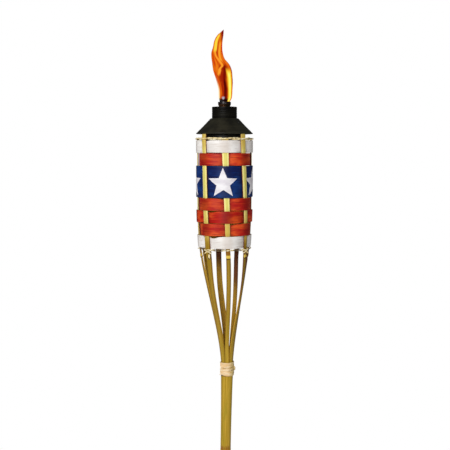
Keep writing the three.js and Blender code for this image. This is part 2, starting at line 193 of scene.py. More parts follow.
class Wire:
    # one socket that can be reckoned with
    def __init__(self, tree, socket):
        self.tree = tree
        self.socket = socket

    def maths(self, operation, *values):
        wide = any(isinstance(v, Wire) and v.socket.type != "VALUE" for v in values)
        wide = wide or any(isinstance(v, tuple) for v in values)
        kind = "ShaderNodeVectorMath" if wide else "ShaderNodeMath"
        if wide:
            values = [(v, v, v) if isinstance(v, (int, float)) else v for v in values]
        return self.tree.add(kind, {"operation": operation}, dict(enumerate(values)))

    def __add__(self, other):
        return self.maths("ADD", self, other)

    def __radd__(self, other):
        return self.maths("ADD", other, self)

    def __sub__(self, other):
        return self.maths("SUBTRACT", self, other)

    def __rsub__(self, other):
        return self.maths("SUBTRACT", other, self)

    def __mul__(self, other):
        return self.maths("MULTIPLY", self, other)

    def __rmul__(self, other):
        return self.maths("MULTIPLY", other, self)

    def __abs__(self):
        return self.maths("ABSOLUTE", self)

    def __pow__(self, power):
        return self.maths("POWER", self, power)


class Tree:
    def __init__(self, name, holder=None):
        self.material = holder or bpy.data.materials.new(name)
        self.material.use_nodes = True
        self.nodes = self.material.node_tree.nodes
        self.links = self.material.node_tree.links
        self.nodes.clear()

    def add(self, kind, settings=None, sockets=None, out=0):
        node = self.nodes.new(kind)
        for key, value in (settings or {}).items():
            if key == "stops":
                self.fillRamp(node.color_ramp, value)
            else:
                setattr(node, key, value)
        for key, value in (sockets or {}).items():
            if isinstance(value, Wire):
                self.links.new(value.socket, node.inputs[key])
            else:
                node.inputs[key].default_value = value
        return Wire(self, node.outputs[out]) if len(node.outputs) else None

    def fillRamp(self, ramp, stops):
        while len(ramp.elements) > 1:
            ramp.elements.remove(ramp.elements[0])
        ramp.elements[0].position = stops[0][0]
        ramp.elements[0].color = stops[0][1]
        for place, colour in stops[1:]:
            ramp.elements.new(place).color = colour

    def split(self, vector):
        node = self.add("ShaderNodeSeparateXYZ", {}, {0: vector}).socket.node
        return [Wire(self, out) for out in node.outputs]

    def map(self, name):
        return self.split(self.add("ShaderNodeUVMap", {"uv_map": name}))[:2]

    def place(self):
        return self.split(self.add("ShaderNodeTexCoord", out=3))

    def vector(self, x, y, z=0.0):
        return self.add("ShaderNodeCombineXYZ", {}, {0: x, 1: y, 2: z})

    def noise(self, x, y, z=0.0, detail=3.0, rough=0.6):
        sockets = {"Vector": self.vector(x, y, z), "Scale": 1.0, "Detail": detail, "Roughness": rough}
        return self.add("ShaderNodeTexNoise", {}, sockets)

    def cells(self, x, y, z=0.0):
        return self.add("ShaderNodeTexVoronoi", {}, {"Vector": self.vector(x, y, z), "Scale": 1.0})

    def step(self, value, low, high, start=0.0, end=1.0):
        settings = {"interpolation_type": "SMOOTHSTEP"}
        sockets = {"Value": value, "From Min": low, "From Max": high, "To Min": start, "To Max": end}
        return self.add("ShaderNodeMapRange", settings, sockets)

    def within(self, value, start, full, fade, end):
        # 1 from full to fade, and 0 outside start and end
        return self.step(value, start, full) * self.step(value, end, fade)

    def ramp(self, value, stops):
        node = self.add("ShaderNodeValToRGB", {"stops": stops}, {0: value})
        node.socket.node.color_ramp.interpolation = "EASE"
        return node

    def mix(self, share, a, b):
        return self.add("ShaderNodeMix", {"data_type": "RGBA"}, {0: share, 6: a, 7: b}, 2)

    def bump(self, height, strength, distance):
        sockets = {"Height": height, "Strength": strength, "Distance": distance}
        return self.add("ShaderNodeBump", {}, sockets)

    def finish(self, sockets):
        shader = self.add("ShaderNodeBsdfPrincipled", {}, sockets)
        self.add("ShaderNodeOutputMaterial", {}, {"Surface": shader})
        return self.material


# meshes from rows of points, with a map of the grain and a map of the place on the piece
def makeMesh(name, verts, faces, maps, finishes, slots, sharp):
    mesh = bpy.data.meshes.new(name)
    mesh.from_pydata([tuple(v) for v in verts], [], faces)
    for mapName, spots in maps.items():
        layer = mesh.uv_layers.new(name=mapName)
        layer.data.foreach_set("uv", [n for spot in spots for n in spot])
    for finish in finishes:
        mesh.materials.append(finish)
    mesh.polygons.foreach_set("material_index", slots)
    mesh.polygons.foreach_set("use_smooth", [True] * len(faces))
    mesh.update()
    mesh.set_sharp_from_angle(angle=math.radians(sharp))
    piece = bpy.data.objects.new(name, mesh)
    bpy.context.collection.objects.link(piece)
    return piece


def skin(name, rows, finishes, along, across, place=None, loop=False, slot=None, sharp=40, caps=(0, 0)):
    # Rows of points become one skin, each row anticlockwise seen from the next. along and across say where
    # the grain lies, in millimetres, and place gives a second map. caps are the ends' finishes.
    wide, count = len(rows[0]), len(rows)
    verts = [p for row in rows for p in row]
    faces, grain, spots, slots = [], [], [], []
    for i in range(count if loop else count - 1):
        n = (i + 1) % count
        for j in range(wide):
            k = (j + 1) % wide
            faces.append((i * wide + j, i * wide + k, n * wide + k, n * wide + j))
            corners = ((i, j), (i, j + 1), (i + 1, j + 1), (i + 1, j))
            grain += [(along[a], across[b]) for a, b in corners]
            spots += [place(a, b) if place else (b / wide, a / count) for a, b in corners]
            slots.append(slot(i, j) if slot else 0)
    for end, finish in ((0, caps[0]), (count - 1, caps[1])) if not loop else ():
        centre = sum(rows[end], Vector()) / wide
        verts.append(centre)
        for j in range(wide):
            k = (j + 1) % wide
            pair = (j, k) if end else (k, j)
            faces.append((len(verts) - 1, end * wide + pair[0], end * wide + pair[1]))
            for p in (centre, rows[end][pair[0]], rows[end][pair[1]]):
                grain.append(((p.x - centre.x + p.z - centre.z) / mm, (p.y - centre.y) / mm))
                spots.append((0.5, 0.0))
            slots.append(finish)
    return makeMesh(name, verts, faces, {"grain": grain, "place": spots}, finishes, slots, sharp)


def lengths(points, closed=False):
    # distance along a line of points, in millimetres
    total, out = 0.0, [0.0]
    for a, b in zip(points, points[1:] + points[:1] if closed else points[1:]):
        total += (Vector(b) - Vector(a)).length / mm
        out.append(total)
    return out


def rounded(corners, steps=4):
    # corners are (radius, height, rounding): each sharp corner becomes a small arc
    out = []
    count = len(corners)
    for n, (x, z, r) in enumerate(corners):
        here = Vector((x, z))
        if not r:
            out.append(here)
            continue
        before = Vector(corners[n - 1][:2]) - here
        after = Vector(corners[(n + 1) % count][:2]) - here
        reach = min(r, before.length * 0.49, after.length * 0.49)
        start, end = here + before.normalized() * reach, here + after.normalized() * reach
        for i in range(steps + 1):
            t = i / steps
            out.append(start * (1 - t) ** 2 + here * 2 * t * (1 - t) + end * t**2)
    return out


def turned(name, profile, finishes, segments, slot=None, loop=True, sharp=40):
    # a solid round the head's axis from (radius, height) points, going up outside and down inside
    rows = [
        [Vector((headX, 0, z)) + around(turn * j / segments) * r for j in range(segments)]
        for r, z in profile
    ]
    biggest = max(r for r, z in profile)
    across = [turn * biggest * j / segments / mm for j in range(segments + 1)]
    along = lengths([Vector((r, z, 0)) for r, z in profile], closed=loop) + [0.0]
    return skin(name, rows, finishes, along, across, loop=loop, slot=slot, sharp=sharp)


def sweep(name, path, finishes, section, closed=False, seed=0, sharp=50):
    # path is points, each with two directions whose cross product runs along it. section gives the
    # distances along those two at a share of the way.
    rows = []
    for i, (point, first, second) in enumerate(path):
        rows.append([point + first * a + second * b for a, b in section(i / len(path))])
    along = [x + seed * 61.7 for x in lengths([p for p, _, _ in path], closed=closed) + [0.0]]
    girth = lengths(rows[0], closed=True)
    return skin(name, rows, finishes, along, [x + seed * 17.3 for x in girth], loop=closed, sharp=sharp)


def join(name, pieces):
    # several meshes as one piece
    first = pieces[0]
    bpy.ops.object.select_all(action="DESELECT")
    for piece in pieces:
        piece.select_set(True)
    bpy.context.view_layer.objects.active = first
    bpy.ops.object.join()
    first.name = first.data.name = name
    return first


def attach(piece, body, slotName, *nodes):
    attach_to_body(piece, body)
    if nodes:
        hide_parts(*nodes)
    return piece


# bamboo: bark, split faces, rings and scars
ringHeight = basketFoot - 18 * mm  # the culm's ring that every splint carries

bambooLook = {
    "skin": "ad891a",
    "skinLight": "c8a236",
    "skinGreen": "9c8916",
    "skinDark": "64470a",
    "basket": "fff09a",
    "basketMiddle": "e2d974",
    "band": "f2cf55",
    "scar": "3b2208",
    "cut": "bf9020",
    "cutDark": "562607",
    "pith": "8a4a14",
    "shade": "714c04",
    "bud": "f3dda8",
    "ochre": "d3b04e",
}
# heights above a ring: where each mark starts, is full, fades and ends
ringMarks = {
    "band": (1.2 * mm, 2.2 * mm, 6.0 * mm, 7.5 * mm),
    "stain": (6.0 * mm, 8.5 * mm, 12 * mm, 17 * mm),
    "scar": (-0.9 * mm, -0.2 * mm, 0.8 * mm, 1.4 * mm),
}
# a scar that a side shoot left on one splint; side runs from -1 to 1 across it
budMark = {"side": 0.42, "rise": 4.2 * mm, "halfWidth": 0.53, "halfHeight": 5.2 * mm}


def fibres(t, along, across, seed=0.0):
    # long streaks: fine ones near 0.5 mm and broad ones of a few millimetres
    fine = t.noise(along * 0.035 + seed, across * 2.6)
    broad = t.noise(along * 0.012 + seed, across * 0.55, 4.0, detail=2.0, rough=0.5)
    return fine, broad


def barkFinish(name, rings, splint, bud=False):
    t = Tree(name)
    look = {key: paint(value) for key, value in bambooLook.items()}
    along, across = t.map("grain")
    side = t.map("place")[0]
    z = t.place()[2]
    fine, broad = fibres(t, along, across)
    patch = t.noise(along * 0.02, across * 0.12, 9.0, rough=0.55)
    colour = t.mix(t.step(broad, 0.35, 0.65), look["skin"], look["skinLight"])
    colour = t.mix(t.step(patch, 0.45, 0.7) * 0.6, colour, look["skinGreen"])
    if splint:
        pale = t.mix(t.step(abs(side), 0.3, 0.75), look["basketMiddle"], look["basket"])
        pale = t.mix(t.step(broad, 0.45, 0.75) * 0.5, pale, look["skinLight"])
        ends = t.step(z, basketTop - 26 * mm, basketTop - 6 * mm) * 0.75
        ends = ends + t.step(z, basketFoot + 80 * mm, basketFoot + 34 * mm) * 0.8
        pale = t.mix(ends, pale, look["ochre"])
        lowShade = t.step(z, bindingTop, basketFoot - 80 * mm) * 0.32 + 0.08
        colour = t.mix(t.step(abs(side), 0.5, 1.0) * 0.4 + lowShade, colour, look["shade"])
        upper = t.step(z, basketFoot + 4 * mm, basketFoot + 32 * mm)
        colour = t.mix(upper, colour, pale)
    colour = t.mix(t.step(fine, 0.56, 0.78) * 0.45, colour, look["skinDark"])
    fleck = t.cells(along * 0.22, across * 0.9, 2.0)
    colour = t.mix(t.step(fleck, 0.16, 0.05) * 0.5, colour, look["skinDark"])
    if not splint:
        # painted shadow under the binding, with some dust: a dark ragged band just below its foot
        shadowAndDust = abs(z + (broad - 0.5) * (2 * mm) - (bindingFoot - 0.3 * mm))
        colour = t.mix(t.step(shadowAndDust, 1.9 * mm, 0.7 * mm) * 0.8, colour, look["scar"])
    for height in rings:
        rise = z - height
        jagged = rise + (patch - 0.5) * (3 * mm)
        band = t.within(jagged, *ringMarks["band"])
        stain = t.within(jagged, *ringMarks["stain"])
        scar = t.within(rise, *ringMarks["scar"])
        if bud:
            # pale inside and dark round its edge
            offside = (side - budMark["side"]) * (1 / budMark["halfWidth"])
            offrise = (rise - budMark["rise"]) * (1 / budMark["halfHeight"])
            far = (offside * offside + offrise * offrise) ** 0.5 + (patch - 0.5) * 0.5
            colour = t.mix(t.step(far, 1.25, 0.95), colour, look["scar"])
            colour = t.mix(t.step(far, 0.85, 0.7), colour, look["bud"])
            continue
        colour = t.mix(band * 0.85, colour, look["band"])
        colour = t.mix(stain * t.step(broad, 0.3, 0.6) * 0.8, colour, look["pith"])
        colour = t.mix(scar * 0.9, colour, look["scar"])
    height = fine * 0.5 + broad * 0.5
    return t.finish({
        "Base Color": colour,
        "Roughness": t.step(patch, 0.3, 0.7, 0.36, 0.52) + t.step(fine, 0.5, 0.8) * 0.1,
        "Specular IOR Level": 0.22,
        "Normal": t.bump(height, 0.35, 0.0004),
    })


def cutFinish(name):
    # split and inner faces of the culm: dark towards the basket, pale lower down
    t = Tree(name)
    look = {key: paint(value) for key, value in bambooLook.items()}
    along, across = t.map("grain")
    x, _, z = t.place()
    fine, broad = fibres(t, along, across, 3.0)
    pores = t.cells(along * 0.5, across * 2.4)
    colour = t.mix(t.step(fine, 0.35, 0.7), look["cut"], look["skin"])
    colour = t.mix(t.step(pores, 0.3, 0.1) * 0.4, colour, look["pith"])
    dark = t.mix(t.step(broad, 0.35, 0.7), look["cutDark"], look["pith"])
    change = z + (broad - 0.5) * (34 * mm) + x * 1.3
    colour = t.mix(t.step(change, basketFoot - 84 * mm, basketFoot - 34 * mm), colour, dark)
    return t.finish({
        "Base Color": colour,
        "Roughness": 0.72,
        "Normal": t.bump(fine, 0.6, 0.0005),
    })


pole = {
    "around": 44,
    "lowRadius": 8.4 * mm,
    "midRadius": 9.2 * mm,
    "topRadius": 10.7 * mm,
    "flare": 140 * mm,
    "bow": 4 * mm,
    "wall": 3 * mm,
    "ringGap": 250 * mm,
    "topToRing": 150 * mm,
    "cut": 46 * mm,
    "cutTip": 2 * mm,
    "sway": 0.9 * mm,
    "steady": (60 * mm, 260 * mm),  # below the split: where the sway begins, and over what length
    "oval": 0.012,
    "floorBelow": 2 * mm,  # from a ring down to the lower floor's face
    "floorAbove": 3 * mm,
    "cutBlend": 14 * mm,  # above the cut, until the stations lie level
    "fineStep": 0.7 * mm,
    "middleStep": 3 * mm,
    "coarseStep": 9 * mm,
    "near": 9 * mm,  # to a ring, for fine steps
    "far": 22 * mm,
}
poleRings = [splitHeight - pole["topToRing"] - pole["ringGap"] * n for n in range(4)]


def ringSwell(rise):
    # a sharp scar line and a rounder ridge just above it
    scar = 0.45 * mm * math.exp(-((rise / (0.8 * mm)) ** 2))
    ridge = 0.75 * mm * math.exp(-(((rise - 3.4 * mm) / (2.2 * mm)) ** 2))
    groove = 0.35 * mm * math.exp(-(((rise + 2.2 * mm) / (1.5 * mm)) ** 2))
    return scar + ridge - groove


def poleRadius(z):
    flare = clamp((z - splitHeight) / pole["flare"] + 1)
    straight = mix(pole["lowRadius"], pole["midRadius"], (z - poleFoot) / (splitHeight - poleFoot))
    return straight + (pole["topRadius"] - pole["midRadius"]) * flare**2


def heightsBetween(low, high, rings):
    # finer steps close to each ring
    out, z = [low], low
    while z < high:
        apart = min(abs(z - ring - 1.5 * mm) for ring in rings)
        step = pole["coarseStep"] if apart > pole["far"] else pole["middleStep"]
        z += pole["fineStep"] if apart < pole["near"] else step
        out.append(min(z, high))
    if out[-1] - out[-2] < 0.2 * mm:
        out.pop(-2)
    return out


def makePole():
    count = pole["around"]
    cutTop = poleFoot + pole["cut"] + pole["cutBlend"]
    bore = pole["wall"]
    steady, settling = pole["steady"]

    def ringAt(z, inset=0.0):
        row = []
        free = ease((splitHeight - steady - z) / settling) * ease((z - poleFoot) / -poleFoot)
        sway = Vector((rough(z * 3.1, 0, 1), rough(z * 3.1, 5, 2), 0)) * pole["sway"] * 2 * free
        sway.x -= pole["bow"] * 4 * z / splitHeight * (1 - z / splitHeight if z > 0 else 1)
        for j in range(count):
            angle = turn * j / count
            r = poleRadius(z) * (1 + pole["oval"] * math.cos(2 * angle + z * 9)) - inset
            if not inset:
                r += sum(ringSwell(z - ring) * (1 + 0.25 * rough(angle, ring, 3)) for ring in poleRings)
                r += 0.06 * mm * rough(angle * 6, z * 40, 4)
            reach = 2 * pole["lowRadius"] - pole["cutTip"]
            slant = clamp((r * math.cos(angle) + pole["lowRadius"] - pole["cutTip"]) / reach)
            low = poleFoot + pole["cut"] * slant
            height = z if z > cutTop else mix(low, cutTop, (z - poleFoot) / (cutTop - poleFoot))
            row.append(around(angle) * r + sway + Vector((0, 0, height)))
        return row

    lowFloor = poleRings[-1] - pole["floorBelow"]
    highFloor = poleRings[0] + pole["floorAbove"]
    inner = [ringAt(z, bore) for z in (lowFloor, mix(lowFloor, cutTop, 0.5), cutTop, poleFoot)]
    outer = [ringAt(z) for z in heightsBetween(poleFoot, splitHeight, poleRings)]
    upper = [ringAt(z, bore) for z in (splitHeight, highFloor)]
    rows = inner + outer + upper
    girth = turn * pole["midRadius"] / mm
    finishes = [barkFinish("culm_bark", poleRings, False), cutFinish("culm_cut")]
    piece = skin(
        "pole_culm", rows, finishes,
        lengths([row[0] for row in rows]), [girth * j / count for j in range(count + 1)],
        slot=lambda i, j: 0 if len(inner) <= i < len(inner) + len(outer) - 1 else 1,
        caps=(1, 1), sharp=60,
    )
    return attach(piece, "stand", "bamboo", "bamboo_pole")


makePole()
print("pole made")

splint = {
    # millimetres, anticlockwise from the front: in the basket, then below it
    "widthsTop": [11.2, 10.2, 10.6, 10.4, 10.8, 10.4, 10.6, 9.6],
    "widths": [7.7, 7.6, 8, 8.2, 9.8, 8.4, 8, 11],
    "thick": 2.6 * mm,
    "thickLow": 3.0 * mm,
    "crown": 0.7 * mm,
    "hollow": 0.3 * mm,
    "bevel": 0.35 * mm,
    "gap": 0.12 * mm,
    "step": 4.2 * mm,
    "wander": 0.5 * mm,
    "roll": math.radians(5),
    "stub": 1.5 * mm,  # what is left of the culm's inner floor at its ring
    "endRound": 0.5 * mm,
    "endNarrow": 0.35 * mm,
    "free": 30 * mm,  # past the binding and the basket, until it may wander
}


def splintPoint(i, z):
    return axisAt(z) + around(splintAngle(i, z)) * splintRadius(z)


def splintFrame(i, z):
    # middle, sideways and outward directions of a splint at height z
    at = splintPoint(i, z)
    along = (splintPoint(i, z + mm) - splintPoint(i, z - mm)).normalized()
    radial = around(splintAngle(i, z))
    side = Vector((0, 0, 1)).cross(radial).normalized()
    out = side.cross(along).normalized()
    roll = splint["roll"] * rough(z * 6, i * 3.7, 11)
    return at, side * math.cos(roll) + out * math.sin(roll), out * math.cos(roll) - side * math.sin(roll)


def splintWidth(i, z):
    grown = clamp((z - ringHeight) / (basketTop - ringHeight))
    uneven = 1 + 0.05 * rough(z * 16, i * 5.1, 12)
    return mix(splint["widths"][i], splint["widthsTop"][i], grown) * mm * uneven


def makeSplint(i):
    ownTop = top(splintNames[i])
    rows, heights = [], heightsBetween(splitHeight, ownTop, [ringHeight])
    fine = []
    for a, b in zip(heights, heights[1:]):
        parts = max(1, round((b - a) / splint["step"]))
        fine += [mix(a, b, n / parts) for n in range(parts)]
    heights = fine + [ownTop - splint["endRound"], ownTop]
    for z in heights:
        at, side, out = splintFrame(i, z)
        free = ease((basketFoot - z) / splint["free"]) * ease((z - bindingTop) / splint["free"])
        at = at + side * (splint["wander"] * rough(z * 11, i * 2.3, 13) * 2 * free)
        splay = clamp((z - bindingTop) / (basketFoot - bindingTop))
        thick = mix(splint["thickLow"], splint["thick"], splay)
        swell = ringSwell(z - ringHeight)
        stub = splint["stub"] * math.exp(-(((z - ringHeight - 1.5 * mm) / (1.6 * mm)) ** 2))
        tip = splint["endNarrow"] if z == ownTop else 0.0

        def half(offset):
            wedge = (splintRadius(z) + offset) * math.tan(math.pi / 8) - splint["gap"]
            return min(splintWidth(i, z) / 2, wedge) - tip

        low, high = -thick / 2, thick / 2
        edge = high - splint["crown"]
        row = [(-half(low), low), (-half(edge), edge - splint["bevel"])]
        for n in range(9):
            share = mix(-1, 1, n / 8)
            reach = half(edge) - splint["bevel"] * 0.6
            row.append((reach * share, high - splint["crown"] * share**2 + swell))
        row += [(half(edge), edge - splint["bevel"]), (half(low), low)]
        for share in (0.5, 0.0, -0.5):
            ragged = stub * (1 + 0.5 * rough(share * 5, i * 9.1, 14))
            row.append((half(low) * share, low + splint["hollow"] * (1 - share**2) - ragged))
        rows.append([at + side * a + out * b for a, b in row])
    shares = [-1.1, -1.0] + [mix(-1, 1, n / 8) for n in range(9)] + [1.0, 1.1, 0.5, 0.0, -0.5, -1.1]
    across = [x + i * 43.0 for x in lengths(rows[len(rows) // 2], closed=True)]
    along = [z / mm + i * 171.0 for z in heights]
    piece = skin(
        f"bamboo_splint_{i + 1}", rows, [buddedBark if i == 7 else splintBark, splintCut], along, across,
        place=lambda a, b: (shares[b], heights[a]),
        slot=lambda a, j: 0 if 1 <= j <= 10 else 1, caps=(1, 1), sharp=42,
    )
    return attach(piece, "stand", "bamboo", splintNames[i])


splintBark = barkFinish("splint_bark", [ringHeight], True)
buddedBark = barkFinish("splint_bark_budded", [ringHeight], True, True)
splintCut = cutFinish("splint_cut")
for i in range(8):
    makeSplint(i)
print("splints made")

# painted strips, woven in and out of the splints
strip = {
    "thick": 1.2 * mm,
    "steps": 300,
    "lap": math.radians(15),  # each end passes the lap's middle by this
    "lapDrop": 1.35 * mm,
    "inPoints": 7,
    "outPoints": 15,
    "edgeWander": 0.35 * mm,
    "ridges": 0.07 * mm,
    "edgeInset": (0.01, 0.015),  # of the inner and outer rows next to an edge, as shares of the height
}
# for each strip: where its ends lap, and the dips of its upper edge as (degrees from the front, depth in
# millimetres, half width in degrees)
stripFacts = [
    {"lap": 135, "dips": [(-42, 1.2, 12), (150, 1.0, 20)]},
    {"lap": 180, "dips": [(100, 1.0, 18), (-80, 0.8, 15)]},
    {"lap": 225, "dips": [(120, 0.9, 14)]},
    {"lap": 180, "dips": [(-6, 1.8, 11), (95, 1.2, 14), (-120, 1.5, 16)]},
    {"lap": 135, "dips": [(-33, 2.3, 12), (38, 1.3, 10), (-150, 1.4, 15)]},
    {"lap": 180, "dips": [(5, 2.4, 15), (-75, 1.5, 14), (110, 1.2, 16)]},
    {"lap": 225, "dips": [(-30, 3.2, 13), (55, 1.0, 12), (160, 1.6, 18)]},
]


def stripWave(index, angle):
    return weave["stripWave"] * (1 if index % 2 == 0 else -1) * math.cos(4 * angle)


def stripSpot(index, angle, z, offset):
    # a point of a strip: angle is round from the front before the weave leans
    head = Vector((headX, 0, 0))
    r = weaveRadius(z) + stripWave(index, angle) + offset
    return head + around(leaning(angle, z)) * r + Vector((0, 0, z))


def makeStrip(index, finishes):
    node = "strip_" + stripNames[index]
    low, high = foot(node), top(node)
    facts = stripFacts[index]
    start = math.radians(facts["lap"]) - strip["lap"]
    span = turn + 2 * strip["lap"]
    half = strip["thick"] / 2
    rows, along = [], []
    for i in range(strip["steps"] + 1):
        angle = start + span * i / strip["steps"]
        tucked = ease((angle - (start + turn) + strip["lap"]) / strip["lap"]) * strip["lapDrop"]
        dip = 0.0
        for at, depth, width in facts["dips"]:
            apart = (math.degrees(angle) - at + 180) % 360 - 180
            dip += depth * mm * math.exp(-((apart / width) ** 2) * 1.4)
        wander = strip["edgeWander"]
        upper = high - dip - wander * (0.5 + 0.5 * rough(angle * 2.2, index * 3.3, 21))
        lower = low + wander * (0.5 + 0.5 * rough(angle * 2.2, index * 3.3, 22))
        row = []
        inner, outer = strip["edgeInset"]
        for n in range(strip["inPoints"]):
            share = mix(inner, 1 - inner, n / (strip["inPoints"] - 1))
            row.append((mix(lower, upper, share), -half))
        row.append((upper, -half * 0.4))
        row.append((upper, half * 0.4))
        for n in range(strip["outPoints"]):
            share = mix(1 - outer, outer, n / (strip["outPoints"] - 1))
            ridge = strip["ridges"] * rough(share * 16, angle * 1.5, 23 + index)
            row.append((mix(lower, upper, share), half + ridge))
        row.append((lower, half * 0.4))
        row.append((lower, -half * 0.4))
        rows.append([stripSpot(index, angle, z, offset - tucked) for z, offset in row])
        along.append(angle * weave["radius"] / mm + index * 211.0)
    across = [x + index * 57.0 for x in lengths(rows[0], closed=True)]
    edges = strip["inPoints"]
    tall = [p.z for p in rows[0]] + [rows[0][0].z]

    def spot(a, b):
        angle = start + span * a / strip["steps"]
        return (angle / turn, (tall[b] - low) / (high - low))

    piece = skin(
        "woven_" + node, rows, finishes, along, across, place=spot,
        slot=lambda a, j: 1 if j < edges - 1 else 0, caps=(1, 1), sharp=35,
    )
    return attach(piece, "stand", stripNames[index].split("_")[0] + "_strip", node)


paintLook = {
    "white": {"main": "eae4de", "light": "faf6f2", "deep": "cbbcb0", "wear": "dccdb4"},
    "red": {"main": "b2120b", "light": "e2541a", "deep": "640505", "wear": "bd6a2a"},
    "blue": {"main": "081a52", "light": "10387a", "deep": "02062a", "wear": "1f3f6c"},
}


def paintedFinish(name, look, index):
    # stain over split bamboo: long streaks where the wood shows through, and worn edges
    t = Tree(name)
    colours = {key: paint(value) for key, value in look.items()}
    along, across = t.map("grain")
    place, tall = t.map("place")
    # near 1 where the strip meets a splint, which places the painted shade below
    shadeAtSplints = abs(place.maths("COSINE", place * (4 * turn)))
    fine = t.noise(along * 0.05, across * 2.2, 1.0 + index)
    broad = t.noise(along * 0.03, across * 0.5, 2.0 + index, rough=0.5)
    patch = t.noise(along * 0.035, across * 0.07, 5.0 + index, detail=2.0, rough=0.5)
    colour = t.mix(t.step(patch, 0.4, 0.68), colours["main"], colours["light"])
    colour = t.mix(t.step(broad, 0.5, 0.72) * 0.6, colour, colours["light"])
    colour = t.mix(t.step(broad, 0.46, 0.3) * 0.55, colour, colours["deep"])
    colour = t.mix(t.step(fine, 0.58, 0.75) * 0.4, colour, colours["deep"])
    # painted shade: the paint turns deeper where the strip passes behind or over a splint
    colour = t.mix(t.step(shadeAtSplints + (broad - 0.5) * 0.5, 0.55, 1.05) * 0.5, colour, colours["deep"])
    edge = abs(tall - 0.5) * 2.0 + (fine - 0.5) * 0.12
    colour = t.mix(t.step(edge, 0.93, 1.0) * 0.65, colour, colours["wear"])
    return t.finish({
        "Base Color": colour,
        "Roughness": t.step(fine, 0.3, 0.7, 0.4, 0.58),
        "Specular IOR Level": 0.25,
        "Normal": t.bump(fine * 0.6 + broad * 0.4, 0.45, 0.0004),
    })


def insideFinish():
    t = Tree("strip_inside")
    along, across = t.map("grain")
    fine, broad = fibres(t, along, across, 8.0)
    colour = t.mix(fine, paint(bambooLook["cut"]), paint(bambooLook["skin"]))
    colour = t.mix(t.step(broad, 0.5, 0.7) * 0.5, colour, paint(bambooLook["pith"]))
    return t.finish({"Base Color": colour, "Roughness": 0.75, "Normal": t.bump(fine, 0.5, 0.0004)})


insideStrip = insideFinish()
for index, stripName in enumerate(stripNames):
    tone = stripName.split("_")[0]
    makeStrip(index, [paintedFinish("paint_" + stripName, paintLook[tone], index * 1.7), insideStrip])
print("strips woven")

star = {
    "index": 2,
    "tip": 26.6 * mm,
    "drop": 2.5 * mm,
    "notch": 0.42,  # inner corners, as a share of the tips
    "turns": [-6.0, 80.0, 162.0, -94.0],  # degrees from the front splint
    "names": ["front", "right", "back", "left"],
    "height": 0.505,  # of its middle, as a share of the strip
    "thick": 0.16 * mm,
    "rings": 14,
    "edge": 14,  # points along each edge
    "sunk": 0.3 * mm,  # its underside, below the strip's face
    "overlap": 1.004,  # of the rim, so that its wall leans out
}


def makeStar(name, degrees, finish):
    node = "strip_blue_star"
    centreZ = mix(foot(node), top(node), star["height"]) - star["drop"]
    outline = []
    for n in range(10):
        a = math.pi / 2 + n * math.pi / 5
        b = a + math.pi / 5
        ra, rb = (1, star["notch"]) if n % 2 == 0 else (star["notch"], 1)
        first = Vector((math.cos(a) * ra, math.sin(a) * ra))
        last = Vector((math.cos(b) * rb, math.sin(b) * rb))
        outline += [first.lerp(last, m / star["edge"]) for m in range(star["edge"])]
    centreAngle = math.radians(degrees)
    reach = weave["radius"] + 2.0 * mm

    def onStrip(spot, offset):
        z = centreZ + spot.y * star["tip"]
        angle = centreAngle + spot.x * star["tip"] / reach
        return stripSpot(star["index"], angle, z, strip["thick"] / 2 + offset)

    rows = []
    for ring in range(star["rings"] + 1):
        share = max(ring / star["rings"], 0.01)
        rows.append([onStrip(p * share, star["thick"]) for p in outline])
    for share in (star["overlap"], 0.5, 0.01):
        rows.append([onStrip(p * share, -star["sunk"]) for p in outline])
    rows = [row[::-1] for row in rows]
    along, across = list(range(len(rows) + 1)), list(range(len(outline) + 1))
    piece = skin("painted_star_" + name, rows, [finish], along, across, sharp=30)
    return attach(piece, "stand", "white_strip")


def starFinish():
    t = Tree("star_paint")
    x, y, z = t.place()
    level = (x + y) * (0.6 / mm)
    streak = t.noise(level * 0.06, z * (2.0 / mm), 3.0)
    patch = t.noise(level * 0.08, z * (0.12 / mm), 6.0, detail=2.0, rough=0.5)
    colour = t.mix(t.step(patch, 0.35, 0.7), paint("f3f0f2"), paint("dfd9df"))
    colour = t.mix(t.step(streak, 0.6, 0.8) * 0.3, colour, paint("c4bcc6"))
    return t.finish({"Base Color": colour, "Roughness": 0.5, "Normal": t.bump(streak, 0.35, 0.0003)})


starPaint = starFinish()
for name, degrees in zip(star["names"], star["turns"]):
    makeStar(name, degrees, starPaint)
print("stars painted")

# two-ply cords round the splints, above and below the strips
up = Vector((0, 0, 1))
head = Vector((headX, 0, 0))

twine = {
    "radius": 1.25 * mm,
    "footRadius": 1.0 * mm,
    "cross": 1.1 * mm,  # one strand passes this much over the other's middle between splints
    "plies": 2,
    "twists": 36,
    "lobe": 0.25,
    "steps": 640,
    "sides": 16,
    "stray": 0.3 * mm,
    "loopReach": 2.4 * mm,
    "loopSlant": 3.2 * mm,
    "loopTwists": 3,
    "loopSteps": 60,
    # each loop's splint, height above the lashing's foot, and slant
    "loops": [(7, -2.4 * mm, 1), (7, -1.2 * mm, -1), (1, -2.2 * mm, -1), (1, -1.0 * mm, 1)],
}


def squared(x, power):
    # pushes a sine or a cosine outwards, which makes a circle squarer
    return math.copysign(abs(x) ** power, x)


def plies(twists, radius):
    # a two-ply cord's section, turning as it goes
    def section(share):
        out = []
        for j in range(twine["sides"]):
            angle = turn * j / twine["sides"]
            lobes = math.cos(twine["plies"] * (angle - turn * twists * share / twine["plies"]))
            r = radius * (1 - twine["lobe"] + twine["lobe"] * lobes)
            out.append((r * math.cos(angle), r * math.sin(angle)))
        return out

    return section


